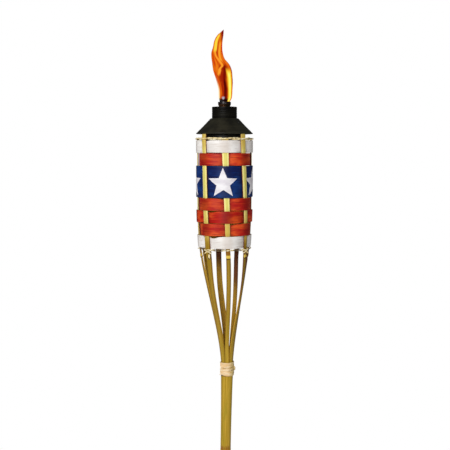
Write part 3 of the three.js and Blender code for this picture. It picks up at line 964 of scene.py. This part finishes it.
def twineFinish(name, shadedSooty=False):
    t = Tree(name)
    along, across = t.map("grain")
    fine = t.noise(along * 0.9, across * 3.0)
    patch = t.noise(along * 0.06, across * 0.1, 4.0, detail=2.0, rough=0.5)
    colour = t.mix(t.step(patch, 0.35, 0.65), paint("e9cf8e"), paint("f8edc6"))
    colour = t.mix(t.step(fine, 0.55, 0.8) * 0.5, colour, paint("a27c35"))
    if shadedSooty:
        # painted shade, with some soot: the cord is darker where no splint lifts it clear of the strip's
        # shadow
        x, y, _ = t.place()
        lean = 4 * (leaning(0, basketFoot) + math.pi / 2)
        angle = x.maths("ARCTAN2", y, x - headX)
        lifted = abs(angle.maths("COSINE", angle * 4.0 - lean))
        colour = t.mix(t.step(lifted, 0.85, 0.45) * 0.9, colour, paint("4a2d0a"))
    return t.finish({"Base Color": colour, "Roughness": 0.8, "Normal": t.bump(fine, 0.6, 0.0003)})


twinePaint = twineFinish("cane_twine")
shadedSootyTwine = twineFinish("cane_twine_shaded_sooty", True)


def cordPoint(angle, z, wave):
    out = around(leaning(angle, z))
    return head + out * (splintRadius(z) + wave) + up * z, out


def makeLashing(node, finish, radius):
    z = middle(node).z
    strands = []
    for number, side in enumerate((1, -1)):
        path = []
        for n in range(twine["steps"]):
            angle = turn * n / twine["steps"]
            point, out = cordPoint(angle, z, side * weave["cordWave"] * math.cos(4 * angle))
            point = point + up * (side * twine["cross"] * math.sin(4 * angle))
            drift = rough(math.cos(angle) * 4 + number * 9, math.sin(angle) * 4, 31)
            path.append((point + up * drift * twine["stray"], up, out))
        section = plies(twine["twists"], radius)
        strands.append(sweep(f"{node}_{number}", path, [finish], section, True, number))
    return attach(join(f"{node}_cords", strands), "stand", "twine", node)


def makeLoop(seed, i, rise, slant):
    # a turn of cord round one splint, slanting up to the right or the left
    path = []
    z = foot("foot_lashing") + rise
    at, side, out = splintFrame(i, z)
    wide = splintWidth(i, z) / 2 + twine["radius"] * 0.9
    for n in range(twine["loopSteps"]):
        angle = turn * n / twine["loopSteps"]
        a, b = math.cos(angle), math.sin(angle)
        a, b = squared(a, 0.6) * wide, squared(b, 0.6) * twine["loopReach"]
        tilt = slant * math.cos(angle) * twine["loopSlant"]
        along = (side * -math.sin(angle) + out * math.cos(angle)).normalized()
        outward = (side * math.cos(angle) + out * math.sin(angle)).normalized()
        path.append((at + side * a + out * (b + 0.2 * mm) + up * tilt, along.cross(outward) * -1, outward))
    section = plies(twine["loopTwists"], twine["radius"])
    return attach(sweep(f"foot_loop_{seed}", path, [twinePaint], section, True, seed), "stand", "twine")


makeLashing("rim_lashing", twinePaint, twine["radius"])
makeLashing("foot_lashing", shadedSootyTwine, twine["footRadius"])
for number, facts in enumerate(twine["loops"]):
    makeLoop(number + 1, *facts)
print("lashings tied")

# one flat cane holds the splints together where the culm is split
binding = {
    "turns": 4.6,
    "width": 5.4 * mm,
    "thick": 1.25 * mm,
    "radius": 11.75 * mm,
    "steps": 420,
    "start": math.radians(-150),
    "slant": 4.5 * mm,  # the lowest turn's drop
    "slantPhase": 0.87,
    "wander": 0.5 * mm,
    "lean": 0.12,
    "tuckAngle": math.radians(-148),
    "knotAngle": math.radians(-8),
    "stubAngle": math.radians(-158),
}


def ribbon(width, thick):
    # a split cane's section, flat inside and crowned outside
    def section(share):
        out = []
        for j in range(16):
            angle = turn * j / 16
            a, b = math.cos(angle), math.sin(angle)
            a, b = squared(a, 0.7), squared(b, 0.8)
            out.append((a * width / 2, b * thick / 2 * (1.15 - 0.35 * a * a)))
        return out

    return section


def caneFinish():
    t = Tree("binding_cane")
    along, across = t.map("grain")
    fine = t.noise(along * 0.05, across * 2.6)
    patch = t.noise(along * 0.05, across * 0.2, 4.0, detail=2.0, rough=0.5)
    x = t.place()[0] + (patch - 0.5) * (8 * mm)
    colour = t.mix(t.step(patch, 0.35, 0.65), paint("ffebc8"), paint("f0c587"))
    # painted shade: the binding's right side, away from the key lamp, turns darker and olive
    colour = t.mix(t.step(x, 2 * mm, 9 * mm) * 0.6, colour, paint("cdb156"))
    colour = t.mix(t.step(fine, 0.5, 0.68) * 0.65, colour, paint("a8773a"))
    return t.finish({
        "Base Color": colour,
        "Roughness": t.step(fine, 0.3, 0.7, 0.5, 0.65),
        "Normal": t.bump(fine, 0.6, 0.0005),
    })


canePaint = caneFinish()


def makeWrap():
    low, high = bindingFoot + binding["width"] / 2, bindingTop - binding["width"] / 2
    path = []
    for n in range(binding["steps"] + 1):
        t = n / binding["steps"]
        angle = binding["start"] + turn * binding["turns"] * t
        rise = low + (high - low) * ease(t * 1.02 - 0.01)
        first = ease(1 - t * binding["turns"])
        lowest = low + binding["slant"] * math.sin(angle - binding["slantPhase"]) * 0.5 + 0.6 * mm
        z = mix(rise, lowest, first) + binding["wander"] * rough(angle * 0.8, 3.0, 41)
        r = binding["radius"] + 0.15 * mm * rough(angle * 1.3, 8.0, 42) + 0.3 * mm * first
        lean = binding["lean"] * math.cos(angle * 0.5)
        out = around(angle)
        path.append((out * r + up * z, (up + out * lean).normalized(), (out - up * lean).normalized()))
    wrap = sweep("binding_wrap", path, [canePaint], ribbon(binding["width"], binding["thick"]), False, 1)
    attach(wrap, "stand", "cane", "cane_binding")


def oval(a, b):
    def section(share):
        return [(math.cos(turn * j / 12) * a / 2, math.sin(turn * j / 12) * b / 2) for j in range(12)]

    return section


def makeEnd(name, seed, angle, steps, width, thick, spot, facing):
    # a short piece of the cane. spot gives how far out, sideways and up it is at a share of its length, and
    # facing picks the two directions of its section
    out = around(angle)
    side = Vector((-out.y, out.x, 0))
    path = []
    for n in range(steps + 1):
        reach, across, z = spot(n / steps)
        path.append((out * (binding["radius"] + reach) + side * across + up * z, *facing(out, side)))
    piece = sweep("binding_" + name, path, [canePaint], oval(width, thick), False, seed)
    attach(piece, "stand", "cane")


def tuckSpot(t):
    # tucked up over the turns
    reach = 1.15 * mm + 0.25 * mm * math.sin(t * math.pi) - 0.9 * mm * (abs(t - 0.5) * 2) ** 6
    across = 1.2 * mm * math.sin(t * 3 + 0.4)
    return reach, across, mix(bindingFoot + 0.8 * mm, bindingTop - 1.2 * mm, t)


def knotSpot(t):
    # a slanting stitch at the front
    reach = 0.5 * mm + 1.1 * mm * math.sin(t * math.pi)
    return reach, mix(-2.5 * mm, 2.8 * mm, t), bindingTop - mix(7.5 * mm, 16.5 * mm, t)


def stubSpot(t):
    # pokes out below
    return 2.6 * mm * t - 0.6 * mm, -1.5 * mm * t, bindingFoot + 1.2 * mm - 0.9 * mm * t


makeWrap()
makeEnd("tuck", 2, binding["tuckAngle"], 40, 3.0 * mm, 1.1 * mm, tuckSpot, lambda out, side: (out, side))
makeEnd("knot", 3, binding["knotAngle"], 48, 1.3 * mm, 3.4 * mm, knotSpot, lambda out, side: (side, out))
makeEnd("stub", 4, binding["stubAngle"], 24, 2.2 * mm, 0.9 * mm, stubSpot, lambda out, side: (side, up))
print("binding wound")

# tinplate parts, turned round the head's axis
shoulderZ = foot("screw_cap") - 0.3 * mm  # the cap stands this gap above the cone
rimFoot = foot("cone_top")
capTop = top("screw_cap")
tin = {
    "sheet": 0.6 * mm,
    "rimBead": 1.15 * mm,
    "shoulder": 24.2 * mm,
    "neck": 19.3 * mm,
    "ribDepth": 0.5 * mm,
    "ribHalf": 1.6 * mm,
    "ribs": [12 * mm, 86 * mm],  # above the wall's foot
    "seamAngle": math.radians(118),
    "seamWidth": 4.5 * mm,
    "seamHeight": 0.35 * mm,
    "footRecess": 2 * mm,
    "footSeam": 4 * mm,
    "ring": (2.6 * mm, 4.4 * mm, 5.6 * mm),  # in from the rim: where the cone's ring starts, tops and ends
    "ringHeight": 0.25 * mm,
    "coneSag": 0.35 * mm,
}
thread = {
    "pitch": 4 * mm,
    "turns": 1.5,
    "depth": 1.1 * mm,
    "root": 1.6 * mm,
    "tip": 0.7 * mm,
    "drop": 9 * mm,  # below the neck's edge
    "bite": 0.3 * mm,  # into the wall
    "steps": 120,
    "fade": 14,  # it runs out over 1/14 of its length at each end
}


def tinFinish(name, light, dark, lines, shine=0.25):
    t = Tree(name)
    x, y, z = t.place()
    cloud = t.noise(x * 60, y * 60, z * 60, rough=0.55)
    speck = t.noise(x * 900, y * 900, z * 900, detail=2.0, rough=0.5)
    drawn = t.noise(x * 8, y * 8, z * lines)
    rub = t.noise(x * 35, y * 35, z * 220, detail=4.0)
    colour = t.mix(t.step(cloud, 0.3, 0.7), paint(dark), paint(light))
    colour = t.mix(t.step(drawn, 0.5, 0.75) * 0.35, colour, paint("3a3729"))
    colour = t.mix(t.step(rub, 0.66, 0.8) * 0.35, colour, paint("4a4636"))
    return t.finish({
        "Base Color": colour,
        "Roughness": t.step(cloud, 0.3, 0.7, 0.42, 0.58) + (speck - 0.5) * 0.1,
        "Specular IOR Level": shine,
        "Normal": t.bump(drawn * 0.7 + speck * 0.3, 0.25, 0.0003),
    })


tinPaint = tinFinish("black_enamel", "29271b", "171610", 700)
tinInside = tinFinish("tin_inside", "3b3a36", "2a2926", 200)
capPaint = tinFinish("cap_enamel", "0f0d08", "060504", 700, 0.1)


def makeThread(name, radius, depth, low):
    # a ridge outwards, or inwards where depth is negative
    rows = []
    steps = thread["steps"]
    root, tip = thread["root"] / 2, thread["tip"] / 2
    for n in range(steps + 1):
        share = n / steps
        out = around(turn * thread["turns"] * share)
        fade = min(1, share * thread["fade"], (1 - share) * thread["fade"])
        z = low + thread["pitch"] * thread["turns"] * share
        rootR = radius - math.copysign(thread["bite"], depth)
        tipR = radius + depth * max(fade, 0.05)
        section = ((rootR, -root), (tipR, -tip), (tipR, tip), (rootR, root))
        row = [head + out * r + up * (z + dz) for r, dz in section]
        rows.append(row[::-1] if depth > 0 else row)
    return skin(name, rows, [tinPaint], list(range(steps + 2)), list(range(5)), sharp=30)


def outsideFirst(count):
    # the first count rows show painted tin, the others the bare inside
    return lambda i, j: 0 if i < count else 1


def makeWall():
    sheet = tin["sheet"]
    radius, low, high = halfWidth("can_wall"), foot("can_wall"), top("can_wall")
    outside, inside = [(radius, low)], []
    for rib in tin["ribs"]:
        for n in range(9):
            dz = mix(-1, 1, n / 8)
            r = radius - tin["ribDepth"] * math.cos(dz * math.pi / 2) ** 2
            outside.append((r, low + rib + dz * tin["ribHalf"]))
            inside.append((r - sheet, low + rib + dz * tin["ribHalf"]))
    outside.append((radius, high - 1.2 * mm))
    inside.append((radius - sheet, high))
    profile = outside + inside[::-1] + [(radius - sheet, low)]
    finishes = [tinPaint, tinInside]
    wall = turned("canister_wall", profile, finishes, 96, slot=outsideFirst(len(outside)))
    attach(wall, "canister", "black_tin", "can_wall")

    # the lapped seam up its side: (sideways, outward) as shares of half its width and of its height
    section = ((-1, -0.6), (1, -0.6), (1, 0.3), (0.8, 1), (-0.8, 1), (-1, 0.3))
    rows = []
    for n in range(25):
        z = mix(low + 6 * mm, high - 3 * mm, n / 24)
        row = []
        for a, b in section:
            angle = tin["seamAngle"] + a * tin["seamWidth"] / 2 / radius
            row.append(head + around(angle) * (radius + b * tin["seamHeight"]) + up * z)
        rows.append(row)
    seam = skin("canister_seam", rows, [tinPaint], list(range(26)), list(range(7)), sharp=30)
    attach(seam, "canister", "black_tin")


def makeBase():
    sheet = tin["sheet"]
    base, floor = foot("can_base"), foot("can_base") + tin["footRecess"]
    seamTop = base + tin["footSeam"]
    outerRim = halfWidth("can_base")
    innerRim = outerRim - 3 * sheet - 0.6 * mm
    profile = rounded([
        (0.5 * mm, floor, 0),
        (innerRim * 0.55, floor, 4 * mm),
        (innerRim * 0.62, floor - 0.5 * mm, 4 * mm),
        (innerRim, floor - 0.5 * mm, 0.3 * mm),
        (innerRim, base, 0.5 * mm),
        (outerRim, base, 0.8 * mm),
        (outerRim, seamTop, 0.25 * mm),
        (outerRim - sheet, seamTop, 0.25 * mm),
        (outerRim - sheet, base + sheet, 0.3 * mm),
        (innerRim + sheet, base + sheet, 0.3 * mm),
        (innerRim + sheet, floor + sheet - 0.5 * mm, 0.3 * mm),
        (innerRim * 0.62, floor + sheet - 0.5 * mm, 4 * mm),
        (innerRim * 0.55, floor + sheet, 4 * mm),
        (0.5 * mm, floor + sheet, 0),
    ])
    base = turned("canister_foot", profile, [tinPaint], 96, loop=False)
    attach(base, "canister", "black_tin", "can_base")


def makeCone():
    sheet, shoulder, neck = tin["sheet"], tin["shoulder"], tin["neck"]
    bead, rim, neckTop = tin["rimBead"], halfWidth("cone_top"), top("cone_top")
    arc = []
    for n in range(13):
        angle = mix(math.radians(-150), math.radians(95), n / 12)
        arc.append((rim - bead + bead * math.cos(angle), rimFoot + bead + bead * math.sin(angle)))
    slope = (shoulderZ - arc[-1][1]) / (arc[-1][0] - shoulder)
    drop = sheet * math.sqrt(1 + slope * slope)

    def onCone(r, rise=0.0):
        return r, shoulderZ - (r - shoulder) * slope + rise

    start, crest, end = tin["ring"]
    outside = arc + [onCone(rim - start), onCone(rim - crest, tin["ringHeight"]), onCone(rim - end)]
    for n in range(1, 8):
        r = mix(rim - end, shoulder + 1.2 * mm, n / 7)
        outside.append(onCone(r, -tin["coneSag"] * math.sin(math.pi * n / 7)))
    outside += [(shoulder, shoulderZ - 0.3 * mm), (shoulder - 1.0 * mm, shoulderZ)]
    outside += [(neck + 0.4 * mm, shoulderZ), (neck, shoulderZ + 0.4 * mm)]
    outside += [(neck, neckTop - 0.5 * mm), (neck - 0.15 * mm, neckTop)]
    inside = [(neck - sheet, neckTop), (neck - sheet, shoulderZ - drop)]
    inside += [(shoulder, shoulderZ - drop), onCone(rim - 4.2 * mm, -drop)]
    finishes = [tinPaint, tinInside]
    cone = turned("cone_shell", outside + inside, finishes, 128, slot=outsideFirst(len(outside)), sharp=50)
    ridge = makeThread("neck_thread", neck, thread["depth"], neckTop - thread["drop"])
    attach(join("canister_cone", [cone, ridge]), "canister", "black_tin", "cone_top")


makeWall()
makeBase()
makeCone()
print("canister made")

# the cap turns with the burner that is clamped in its roof
cap = {
    # how far below the top, and how deep
    "grooves": [(13 * mm, 0.2 * mm), (9 * mm, 0.45 * mm), (5.4 * mm, 0.45 * mm)],
    "grooveHalf": 0.9 * mm,
    "chamfer": 0.9 * mm,
    "dish": 0.4 * mm,
    "dishRadius": 12.9 * mm,
    "hole": 10.0 * mm,
    "hem": 1.0 * mm,
}
burner = {
    "wall": 0.8 * mm,
    "outer": 9.7 * mm,
    "flange": 2.8 * mm,
    "bead": 1.2 * mm,
    "ring": 0.9 * mm,
    "lip": 1.5 * mm,
    "gap": 0.3 * mm,
}


def makeCap():
    radius, low, sheet = halfWidth("screw_cap"), foot("screw_cap"), tin["sheet"]
    hem = low + cap["hem"]
    outside = [(radius - sheet, low), (radius - 0.1 * mm, low), (radius, low + 0.25 * mm), (radius, hem)]
    outside += [(radius - 0.12 * mm, hem + 0.3 * mm), (radius, hem + 0.6 * mm)]
    for drop, deep in cap["grooves"]:
        for n in range(9):
            dz = mix(-1, 1, n / 8)
            r = radius - deep * math.cos(dz * math.pi / 2) ** 2
            outside.append((r, capTop - drop + dz * cap["grooveHalf"]))
    roof = rounded([
        (radius, capTop - 2 * mm, 0),
        (radius, capTop, cap["chamfer"]),
        (cap["dishRadius"] + cap["dish"], capTop, 0.2 * mm),
        (cap["dishRadius"], capTop - cap["dish"], 0.2 * mm),
        (cap["hole"], capTop - cap["dish"], 0),
        (cap["hole"], capTop - cap["dish"] - sheet, 0),
        (cap["dishRadius"], capTop - cap["dish"] - sheet, 0),
        (cap["dishRadius"] + cap["dish"], capTop - sheet, 0),
        (radius - sheet, capTop - sheet, 0.3 * mm),
        (radius - sheet, capTop - 2 * mm, 0),
    ], steps=6)
    shell = turned("cap_shell", outside + roof, [capPaint], 128, sharp=45)
    low = top("cone_top") - thread["drop"] - thread["pitch"] / 2
    ridge = makeThread("cap_thread", radius - sheet, -thread["depth"], low)
    attach(join("cap_cover", [shell, ridge]), "cap", "black_tin", "screw_cap")


def gasketFinish():
    t = Tree("gasket_rubber")
    x, y, z = t.place()
    speck = t.noise(x * 1500, y * 1500, z * 1500, detail=2.0)
    bloom = t.noise(x * 120, y * 120, z * 120, detail=2.0, rough=0.5)
    colour = t.mix(t.step(bloom, 0.4, 0.7), paint("2b2b29"), paint("474743"))
    return t.finish({
        "Base Color": colour,
        "Roughness": t.step(speck, 0.3, 0.7, 0.75, 0.95),
        "Normal": t.bump(speck, 0.4, 0.0002),
    })


def makeGasket():
    low, high = foot("cap_gasket"), top("cap_gasket")
    inner, outer = cap["dishRadius"] + cap["dish"] + 0.3 * mm, halfWidth("cap_gasket")
    corners = ((inner, low), (outer, low), (outer, high), (inner, high))
    profile = rounded([(r, z, 0.35 * mm) for r, z in corners])
    ring = turned("gasket_ring", profile, [gasketFinish()], 96)
    attach(ring, "gasket", "gasket_rubber", "cap_gasket")


def burnerFinish():
    # soot thickens towards the mouth, which is burnt glossy black
    t = Tree("sooted_steel")
    x, y, z = t.place()
    soot = t.noise(x * 170, y * 170, z * 110, detail=4.0)
    scale = t.noise(x * 700, y * 700, z * 700)
    burnt = t.step(z + (soot - 0.5) * (5 * mm), capTop + 3 * mm, capTop + 5.5 * mm)
    # painted reflection: a dark greenish one over the burner's right side
    greenReflection = t.step(x + (soot - 0.5) * (6 * mm), headX - 3 * mm, headX + 4 * mm)
    colour = t.mix(soot, paint("9a6c4a"), paint("4a3322"))
    colour = t.mix(greenReflection * 0.8, colour, paint("2a2c1a"))
    colour = t.mix(burnt, colour, paint("170808"))
    colour = t.mix(t.step(scale, 0.6, 0.75) * burnt * 0.8, colour, paint("a5a3a6"))
    return t.finish({
        "Base Color": colour,
        "Metallic": burnt * -0.5 + 0.85,
        "Roughness": t.step(soot, 0.3, 0.7, 0.2, 0.42),
        "Normal": t.bump(scale * 0.5 + soot * 0.5, 0.5, 0.0005),
    })


def makeBurner():
    inner, outer = burner["outer"] - burner["wall"], burner["outer"]
    low, high = foot("burner_tube"), top("burner_tube")
    dish, gap = capTop - cap["dish"], burner["gap"]
    under = dish - tin["sheet"] - gap
    profile = rounded([
        (inner, low, 0.2 * mm),
        (outer, low, 0.2 * mm),
        (outer, under - burner["ring"], 0),
        (outer + burner["flange"], under - burner["ring"], 0.3 * mm),
        (outer + burner["flange"], under, 0.3 * mm),
        (outer, under, 0),
        (outer, dish + gap, 0),
        (outer + burner["bead"], dish + gap, 0.4 * mm),
        (outer + burner["bead"], dish + gap + burner["ring"], 0.4 * mm),
        (outer, dish + gap + burner["ring"], 0.3 * mm),
        (outer + 0.3 * mm, high - 7 * mm, 1.5 * mm),
        (outer + burner["lip"], high - 4.6 * mm, 2.0 * mm),
        (outer + burner["lip"], high, 1.6 * mm),
        (outer + burner["lip"] - 1.3 * mm, high, 0.5 * mm),
        (inner, high - 3 * mm, 1.0 * mm),
    ])
    tube = turned("burner_sleeve", profile, [burnerFinish()], 96, sharp=50)
    attach(tube, "cap", "burner_steel", "burner_tube")


makeCap()
makeGasket()
makeBurner()
print("cap and burner made")

# plaited rope, charred at its top
wick = {
    "strands": 7,
    "lead": 15 * mm,
    "depth": 0.055,
    "sides": 84,
    "step": 0.8 * mm,
    "dome": 4 * mm,  # height over which its top closes
    "frayed": 14 * mm,  # of its top
    "fray": 0.05,
}


def wickFinish():
    t = Tree("glass_rope")
    x, y, z = t.place()
    along, across = t.map("grain")
    yarn = t.noise(along * 1.6, across * 1.6)
    soot = t.noise(x * 260, y * 260, z * 200, detail=4.0)
    level = z + (soot - 0.5) * (7 * mm)
    high = top("wick")
    colour = t.mix(t.step(yarn, 0.35, 0.7), paint("efe9da"), paint("c9bfa6"))
    colour = t.mix(t.step(level, high - 42 * mm, high - 22 * mm), colour, paint("8d6b3c"))
    colour = t.mix(t.step(level, high - 24 * mm, high - 14 * mm), colour, paint("0d0b0a"))
    ash = t.step(soot, 0.6, 0.68) * t.step(level, high - 6 * mm, high - 1 * mm)
    colour = t.mix(ash, colour, paint("d5d8dd"))
    return t.finish({"Base Color": colour, "Roughness": 0.7, "Normal": t.bump(yarn, 0.7, 0.0005)})


def makeWick():
    low, high, radius = foot("wick"), top("wick"), halfWidth("wick")
    rows, heights = [], []
    count = round((high - low) / wick["step"])
    for n in range(count + 1):
        z = mix(low, high, n / count)
        dome = math.sqrt(clamp(1 - clamp((z - high + wick["dome"]) / (wick["dome"] * 1.05)) ** 2))
        fray = wick["fray"] * clamp((z - high) / wick["frayed"] + 1)
        row = []
        for j in range(wick["sides"]):
            angle = turn * j / wick["sides"]
            strand, swirl = wick["strands"] * angle / 2, turn * z / wick["lead"]
            over = max(abs(math.sin(strand + swirl)), abs(math.sin(strand - swirl))) - 1
            burnt = fray * rough(angle * 3, z * 300, 51) * 2
            r = radius * (1 + wick["depth"] * over * 2 + burnt - fray) * max(dome, 0.06)
            row.append(head + around(angle) * r + up * z)
        rows.append(row)
        heights.append(z / mm)
    across = [turn * radius / mm * j / wick["sides"] for j in range(wick["sides"] + 1)]
    rope = skin("wick_rope", rows, [wickFinish()], heights, across, sharp=70)
    attach(rope, "wick", "glass_rope", "wick")


makeWick()
print("wick plaited")

# one leaning tongue of burning gas
flame = {
    # share of the height, middle beside the wick's axis, half width, both in millimetres
    "stations": [
        (0.0, 1.0, 8.4), (0.03, 1.3, 10.4), (0.06, 1.6, 11.5), (0.18, 1.7, 12.3), (0.31, -0.2, 14.4),
        (0.435, -3.3, 15.9), (0.52, -6.2, 14.8), (0.6, -11.2, 11.4), (0.68, -12.9, 9.8), (0.76, -11.9, 8.0),
        (0.845, -10.4, 7.2), (0.925, -7.0, 5.2), (0.97, -3.7, 2.3), (1.0, -1.7, 0.4),
    ],
    "low": 7 * mm,  # below the wick's top
    "depth": 0.7,
    "swayY": 3.5 * mm,
    "rows": 110,
    "sides": 56,
    "ripple": 0.05,
    "crowding": 0.85,  # below 1, more of the rows lie near the tip
}


def between(stations, share):
    # a smooth line through the stations
    n = 0
    while n < len(stations) - 2 and stations[n + 1][0] < share:
        n += 1
    a, b = stations[n], stations[n + 1]
    before, after = stations[max(n - 1, 0)], stations[min(n + 2, len(stations) - 1)]
    t = clamp((share - a[0]) / (b[0] - a[0]))
    out = []
    for k in (1, 2):
        slopeA = (b[k] - before[k]) / (b[0] - before[0]) * (b[0] - a[0])
        slopeB = (after[k] - a[k]) / (after[0] - a[0]) * (b[0] - a[0])
        out.append(
            (2 * t**3 - 3 * t**2 + 1) * a[k] + (t**3 - 2 * t**2 + t) * slopeA
            + (3 * t**2 - 2 * t**3) * b[k] + (t**3 - t**2) * slopeB
        )
    return out


# streaks in the flame, each over the one before: strength, colour, the heights it starts and ends at, half its
# width, softness, and its line as (height, place from -1 left to 1 right); heights are shares of the flame's
flameBands = [
    (1.0, "7a0c03", 0.0, 0.5, 0.3, 0.9, [(0.0, 0.0), (0.3, 0.02), (0.5, 0.3)]),
    (0.8, "3a0406", 0.0, 0.3, 0.14, 0.8, [(0.0, -0.1), (0.15, -0.12), (0.35, 0.05)]),
    (0.7, "e8640e", 0.1, 0.36, 0.14, 0.9, [(0.0, -0.55), (0.2, -0.6), (0.4, -0.8)]),
    (
        1.0, "ffa02c", 0.37, 0.76, 0.22, 0.7,
        [(0.36, -0.5), (0.44, -0.3), (0.5, 0.1), (0.56, 0.02), (0.64, -0.25), (0.76, -0.45)],
    ),
    (1.0, "ffa42a", 0.56, 0.82, 0.28, 0.7, [(0.55, 0.3), (0.75, 0.5)]),
    (0.7, "a83206", 0.64, 0.86, 0.14, 0.9, [(0.66, 0.0), (0.9, 0.1)]),
    (1.0, "ffd83e", 0.7, 0.94, 0.4, 0.5, [(0.66, -0.3), (0.85, -0.45), (0.95, -0.3)]),
    (1.0, "ffc62c", 0.0, 0.44, 0.34, 0.5, [(0.0, 0.62), (0.2, 0.6), (0.45, 0.62)]),
    (1.0, "ffff74", 0.0, 0.4, 0.19, 0.5, [(0.0, 0.7), (0.2, 0.64), (0.45, 0.64)]),
]


def flameFinish():
    # side runs from -1 at the left edge to 1 at the right one, tall from foot to tip
    t = Tree("burning_gas")
    side, tall = t.map("place")
    lick = t.noise(side * 0.9, tall * 3.2, 2.0, rough=0.5)
    wisp = t.noise(side * 3.2 + lick * 2.0, tall * 5.0, 7.0, rough=0.55)
    s = side + (lick - 0.5) * 0.35
    v = tall + (wisp - 0.5) * 0.05

    def band(low, high, wide, soft, stops):
        grey = [(at, (value * 0.5 + 0.5,) * 3 + (1.0,)) for at, value in stops]
        line = t.ramp(v, grey) * 2.0 - 1.0
        near = t.step(abs(s - line), wide, wide * (1 - soft))
        return near * t.within(v, low - 0.03, low + 0.03, high - 0.04, high + 0.04)

    colour = t.mix(t.step(wisp, 0.35, 0.65), paint("cf3c08"), paint("f07c14"))
    body = band(0.0, 0.5, 0.75, 0.7, [(0.0, -0.1), (0.3, -0.15), (0.5, 0.15), (0.6, 0.3)])
    colour = t.mix(body * t.step(wisp, 0.8, 0.45, 0.45, 1.0), colour, paint("a42306"))
    for share, tone, *facts in flameBands:
        colour = t.mix(band(*facts) * share, colour, paint(tone))
    colour = t.mix(t.step(side, -0.78, -0.97) * t.step(tall, 0.4, 0.12), colour, paint("fff0b8"))
    rim = t.step(side, 0.86, 0.99) * t.within(tall, 0.16, 0.3, 0.5, 0.7)
    colour = t.mix(rim, colour, paint("8a2606"))
    colour = t.mix(t.step(side, -0.85, -0.98) * t.step(tall, 0.4, 0.55) * 0.7, colour, paint("a84a10"))
    colour = t.mix(t.step(tall + side * 0.05, 0.9, 0.97), colour, paint("7c0a12"))
    colour = t.mix(t.step(side, 0.3, 0.75) * t.step(tall, 0.8, 0.88) * 0.9, colour, paint("8e1408"))
    colour = t.mix(t.step(tall, 0.06, 0.02) * t.step(side, 0.55, 0.35), colour, paint("1c0507"))
    # a pale glint of the wick at its foot
    away = ((s + 0.35) * (s + 0.35) * 12.0 + (v - 0.05) * (v - 0.05) * 1500.0) ** 0.5
    colour = t.mix(t.step(away + lick - 0.5, 1.1, 0.2) * 0.85, colour, paint("b4b6c2"))
    return t.finish({
        "Base Color": paint("000000"),
        "Roughness": 1.0,
        "Specular IOR Level": 0.0,
        "Emission Color": colour,
        "Emission Strength": 1.0,
    })


def makeFlame():
    low, high = top("wick") - flame["low"], top("flame")
    rows, tall = [], [(n / flame["rows"]) ** flame["crowding"] for n in range(flame["rows"] + 1)]
    for share in tall:
        centre, half = between(flame["stations"], share)
        z = mix(low, high, share)
        deep = mix(1.0, flame["depth"], ease(share / 0.12))
        sway = flame["swayY"] * math.sin(turn * share) * ease(share / 0.2)
        row = []
        for j in range(flame["sides"]):
            angle = turn * j / flame["sides"]
            a, b = math.cos(angle), math.sin(angle)
            ripple = flame["ripple"] * rough(a * 2, share * 7 + b * 2, 61) * 2
            x = headX + centre * mm + half * mm * a * (1 + ripple * 0.4)
            row.append(Vector((x, half * mm * deep * b * (1 + ripple) + sway, z)))
        rows.append(row)

    def spot(a, b):
        return (math.cos(turn * b / flame["sides"]), tall[a])

    across = list(range(flame["sides"] + 1))
    fire = skin("burning_flame", rows, [flameFinish()], tall, across, place=spot, sharp=80)
    attach(fire, "wick", "flame", "flame")


makeFlame()
print("flame lit")

# pale floor and soft light
stage = {
    "floor": poleFoot - 4 * mm,
    "floorRadius": 2.2,
    "fade": (0.25, 1.3),  # the floor turns from lit to plain white between these distances
    "skyShare": 0.44,
    "sideLoss": 0.75,
    "shineShare": 0.1,  # of the sky as glossy surfaces mirror it
}
# power, and degrees round from the front
lamps = {"key": (40.0, -19), "back": (20.0, 165)}
lamp = {"size": 1.2, "height": 1.9, "distance": 2.2, "aim": 1.05}


def makeFloor():
    t = Tree("studio_floor")
    x, y, _ = t.place()
    away = (x * x + y * y) ** 0.5
    pale = t.add("ShaderNodeBsdfDiffuse", {}, {"Color": (0.9, 0.9, 0.9, 1)})
    clear = t.add("ShaderNodeEmission", {}, {"Color": (1, 1, 1, 1), "Strength": 1.0})
    shader = t.add("ShaderNodeMixShader", {}, {0: t.step(away, *stage["fade"]), 1: pale, 2: clear})
    t.add("ShaderNodeOutputMaterial", {}, {"Surface": shader})
    rows = [
        [around(turn * j / 96) * stage["floorRadius"] + up * z for j in range(96)]
        for z in (stage["floor"] - 0.01, stage["floor"])
    ]
    floor = skin("studio_floor", rows, [t.material], [0, 1, 2], list(range(97)))


def makeLamp(name, power, degrees):
    data = bpy.data.lights.new(name, "AREA")
    data.energy = power
    data.shape = "DISK"
    data.size = lamp["size"]
    light = bpy.data.objects.new(name, data)
    bpy.context.collection.objects.link(light)
    beyond = around(math.radians(degrees) - math.pi / 2) * lamp["distance"]
    light.location = beyond + head + up * lamp["height"]
    aim = head + up * lamp["aim"]
    light.rotation_euler = (aim - light.location).to_track_quat("-Z", "Y").to_euler()
    light.visible_camera = False
    light.visible_glossy = name == "key"


def makeSky():
    # white to the eye, but it lights the torch less from the two sides
    world = bpy.data.worlds.new("studio")
    bpy.context.scene.world = world
    t = Tree("studio", world)
    x = t.split(t.add("ShaderNodeTexCoord"))[0]
    rays = t.add("ShaderNodeLightPath").socket.node
    glossy, seen = Wire(t, rays.outputs["Is Glossy Ray"]), Wire(t, rays.outputs["Is Camera Ray"])
    lit = (1.0 - abs(x) * stage["sideLoss"]) * stage["skyShare"]
    light = lit * (1.0 - glossy) + glossy * stage["shineShare"]
    light = light * (1.0 - seen) + seen
    sky = t.add("ShaderNodeBackground", {}, {"Color": (1, 1, 1, 1), "Strength": light})
    t.add("ShaderNodeOutputWorld", {}, {"Surface": sky})


makeFloor()
makeSky()
for name, facts in lamps.items():
    makeLamp(name, *facts)
bpy.context.scene.view_settings.view_transform = "Standard"
print("floor and light set")
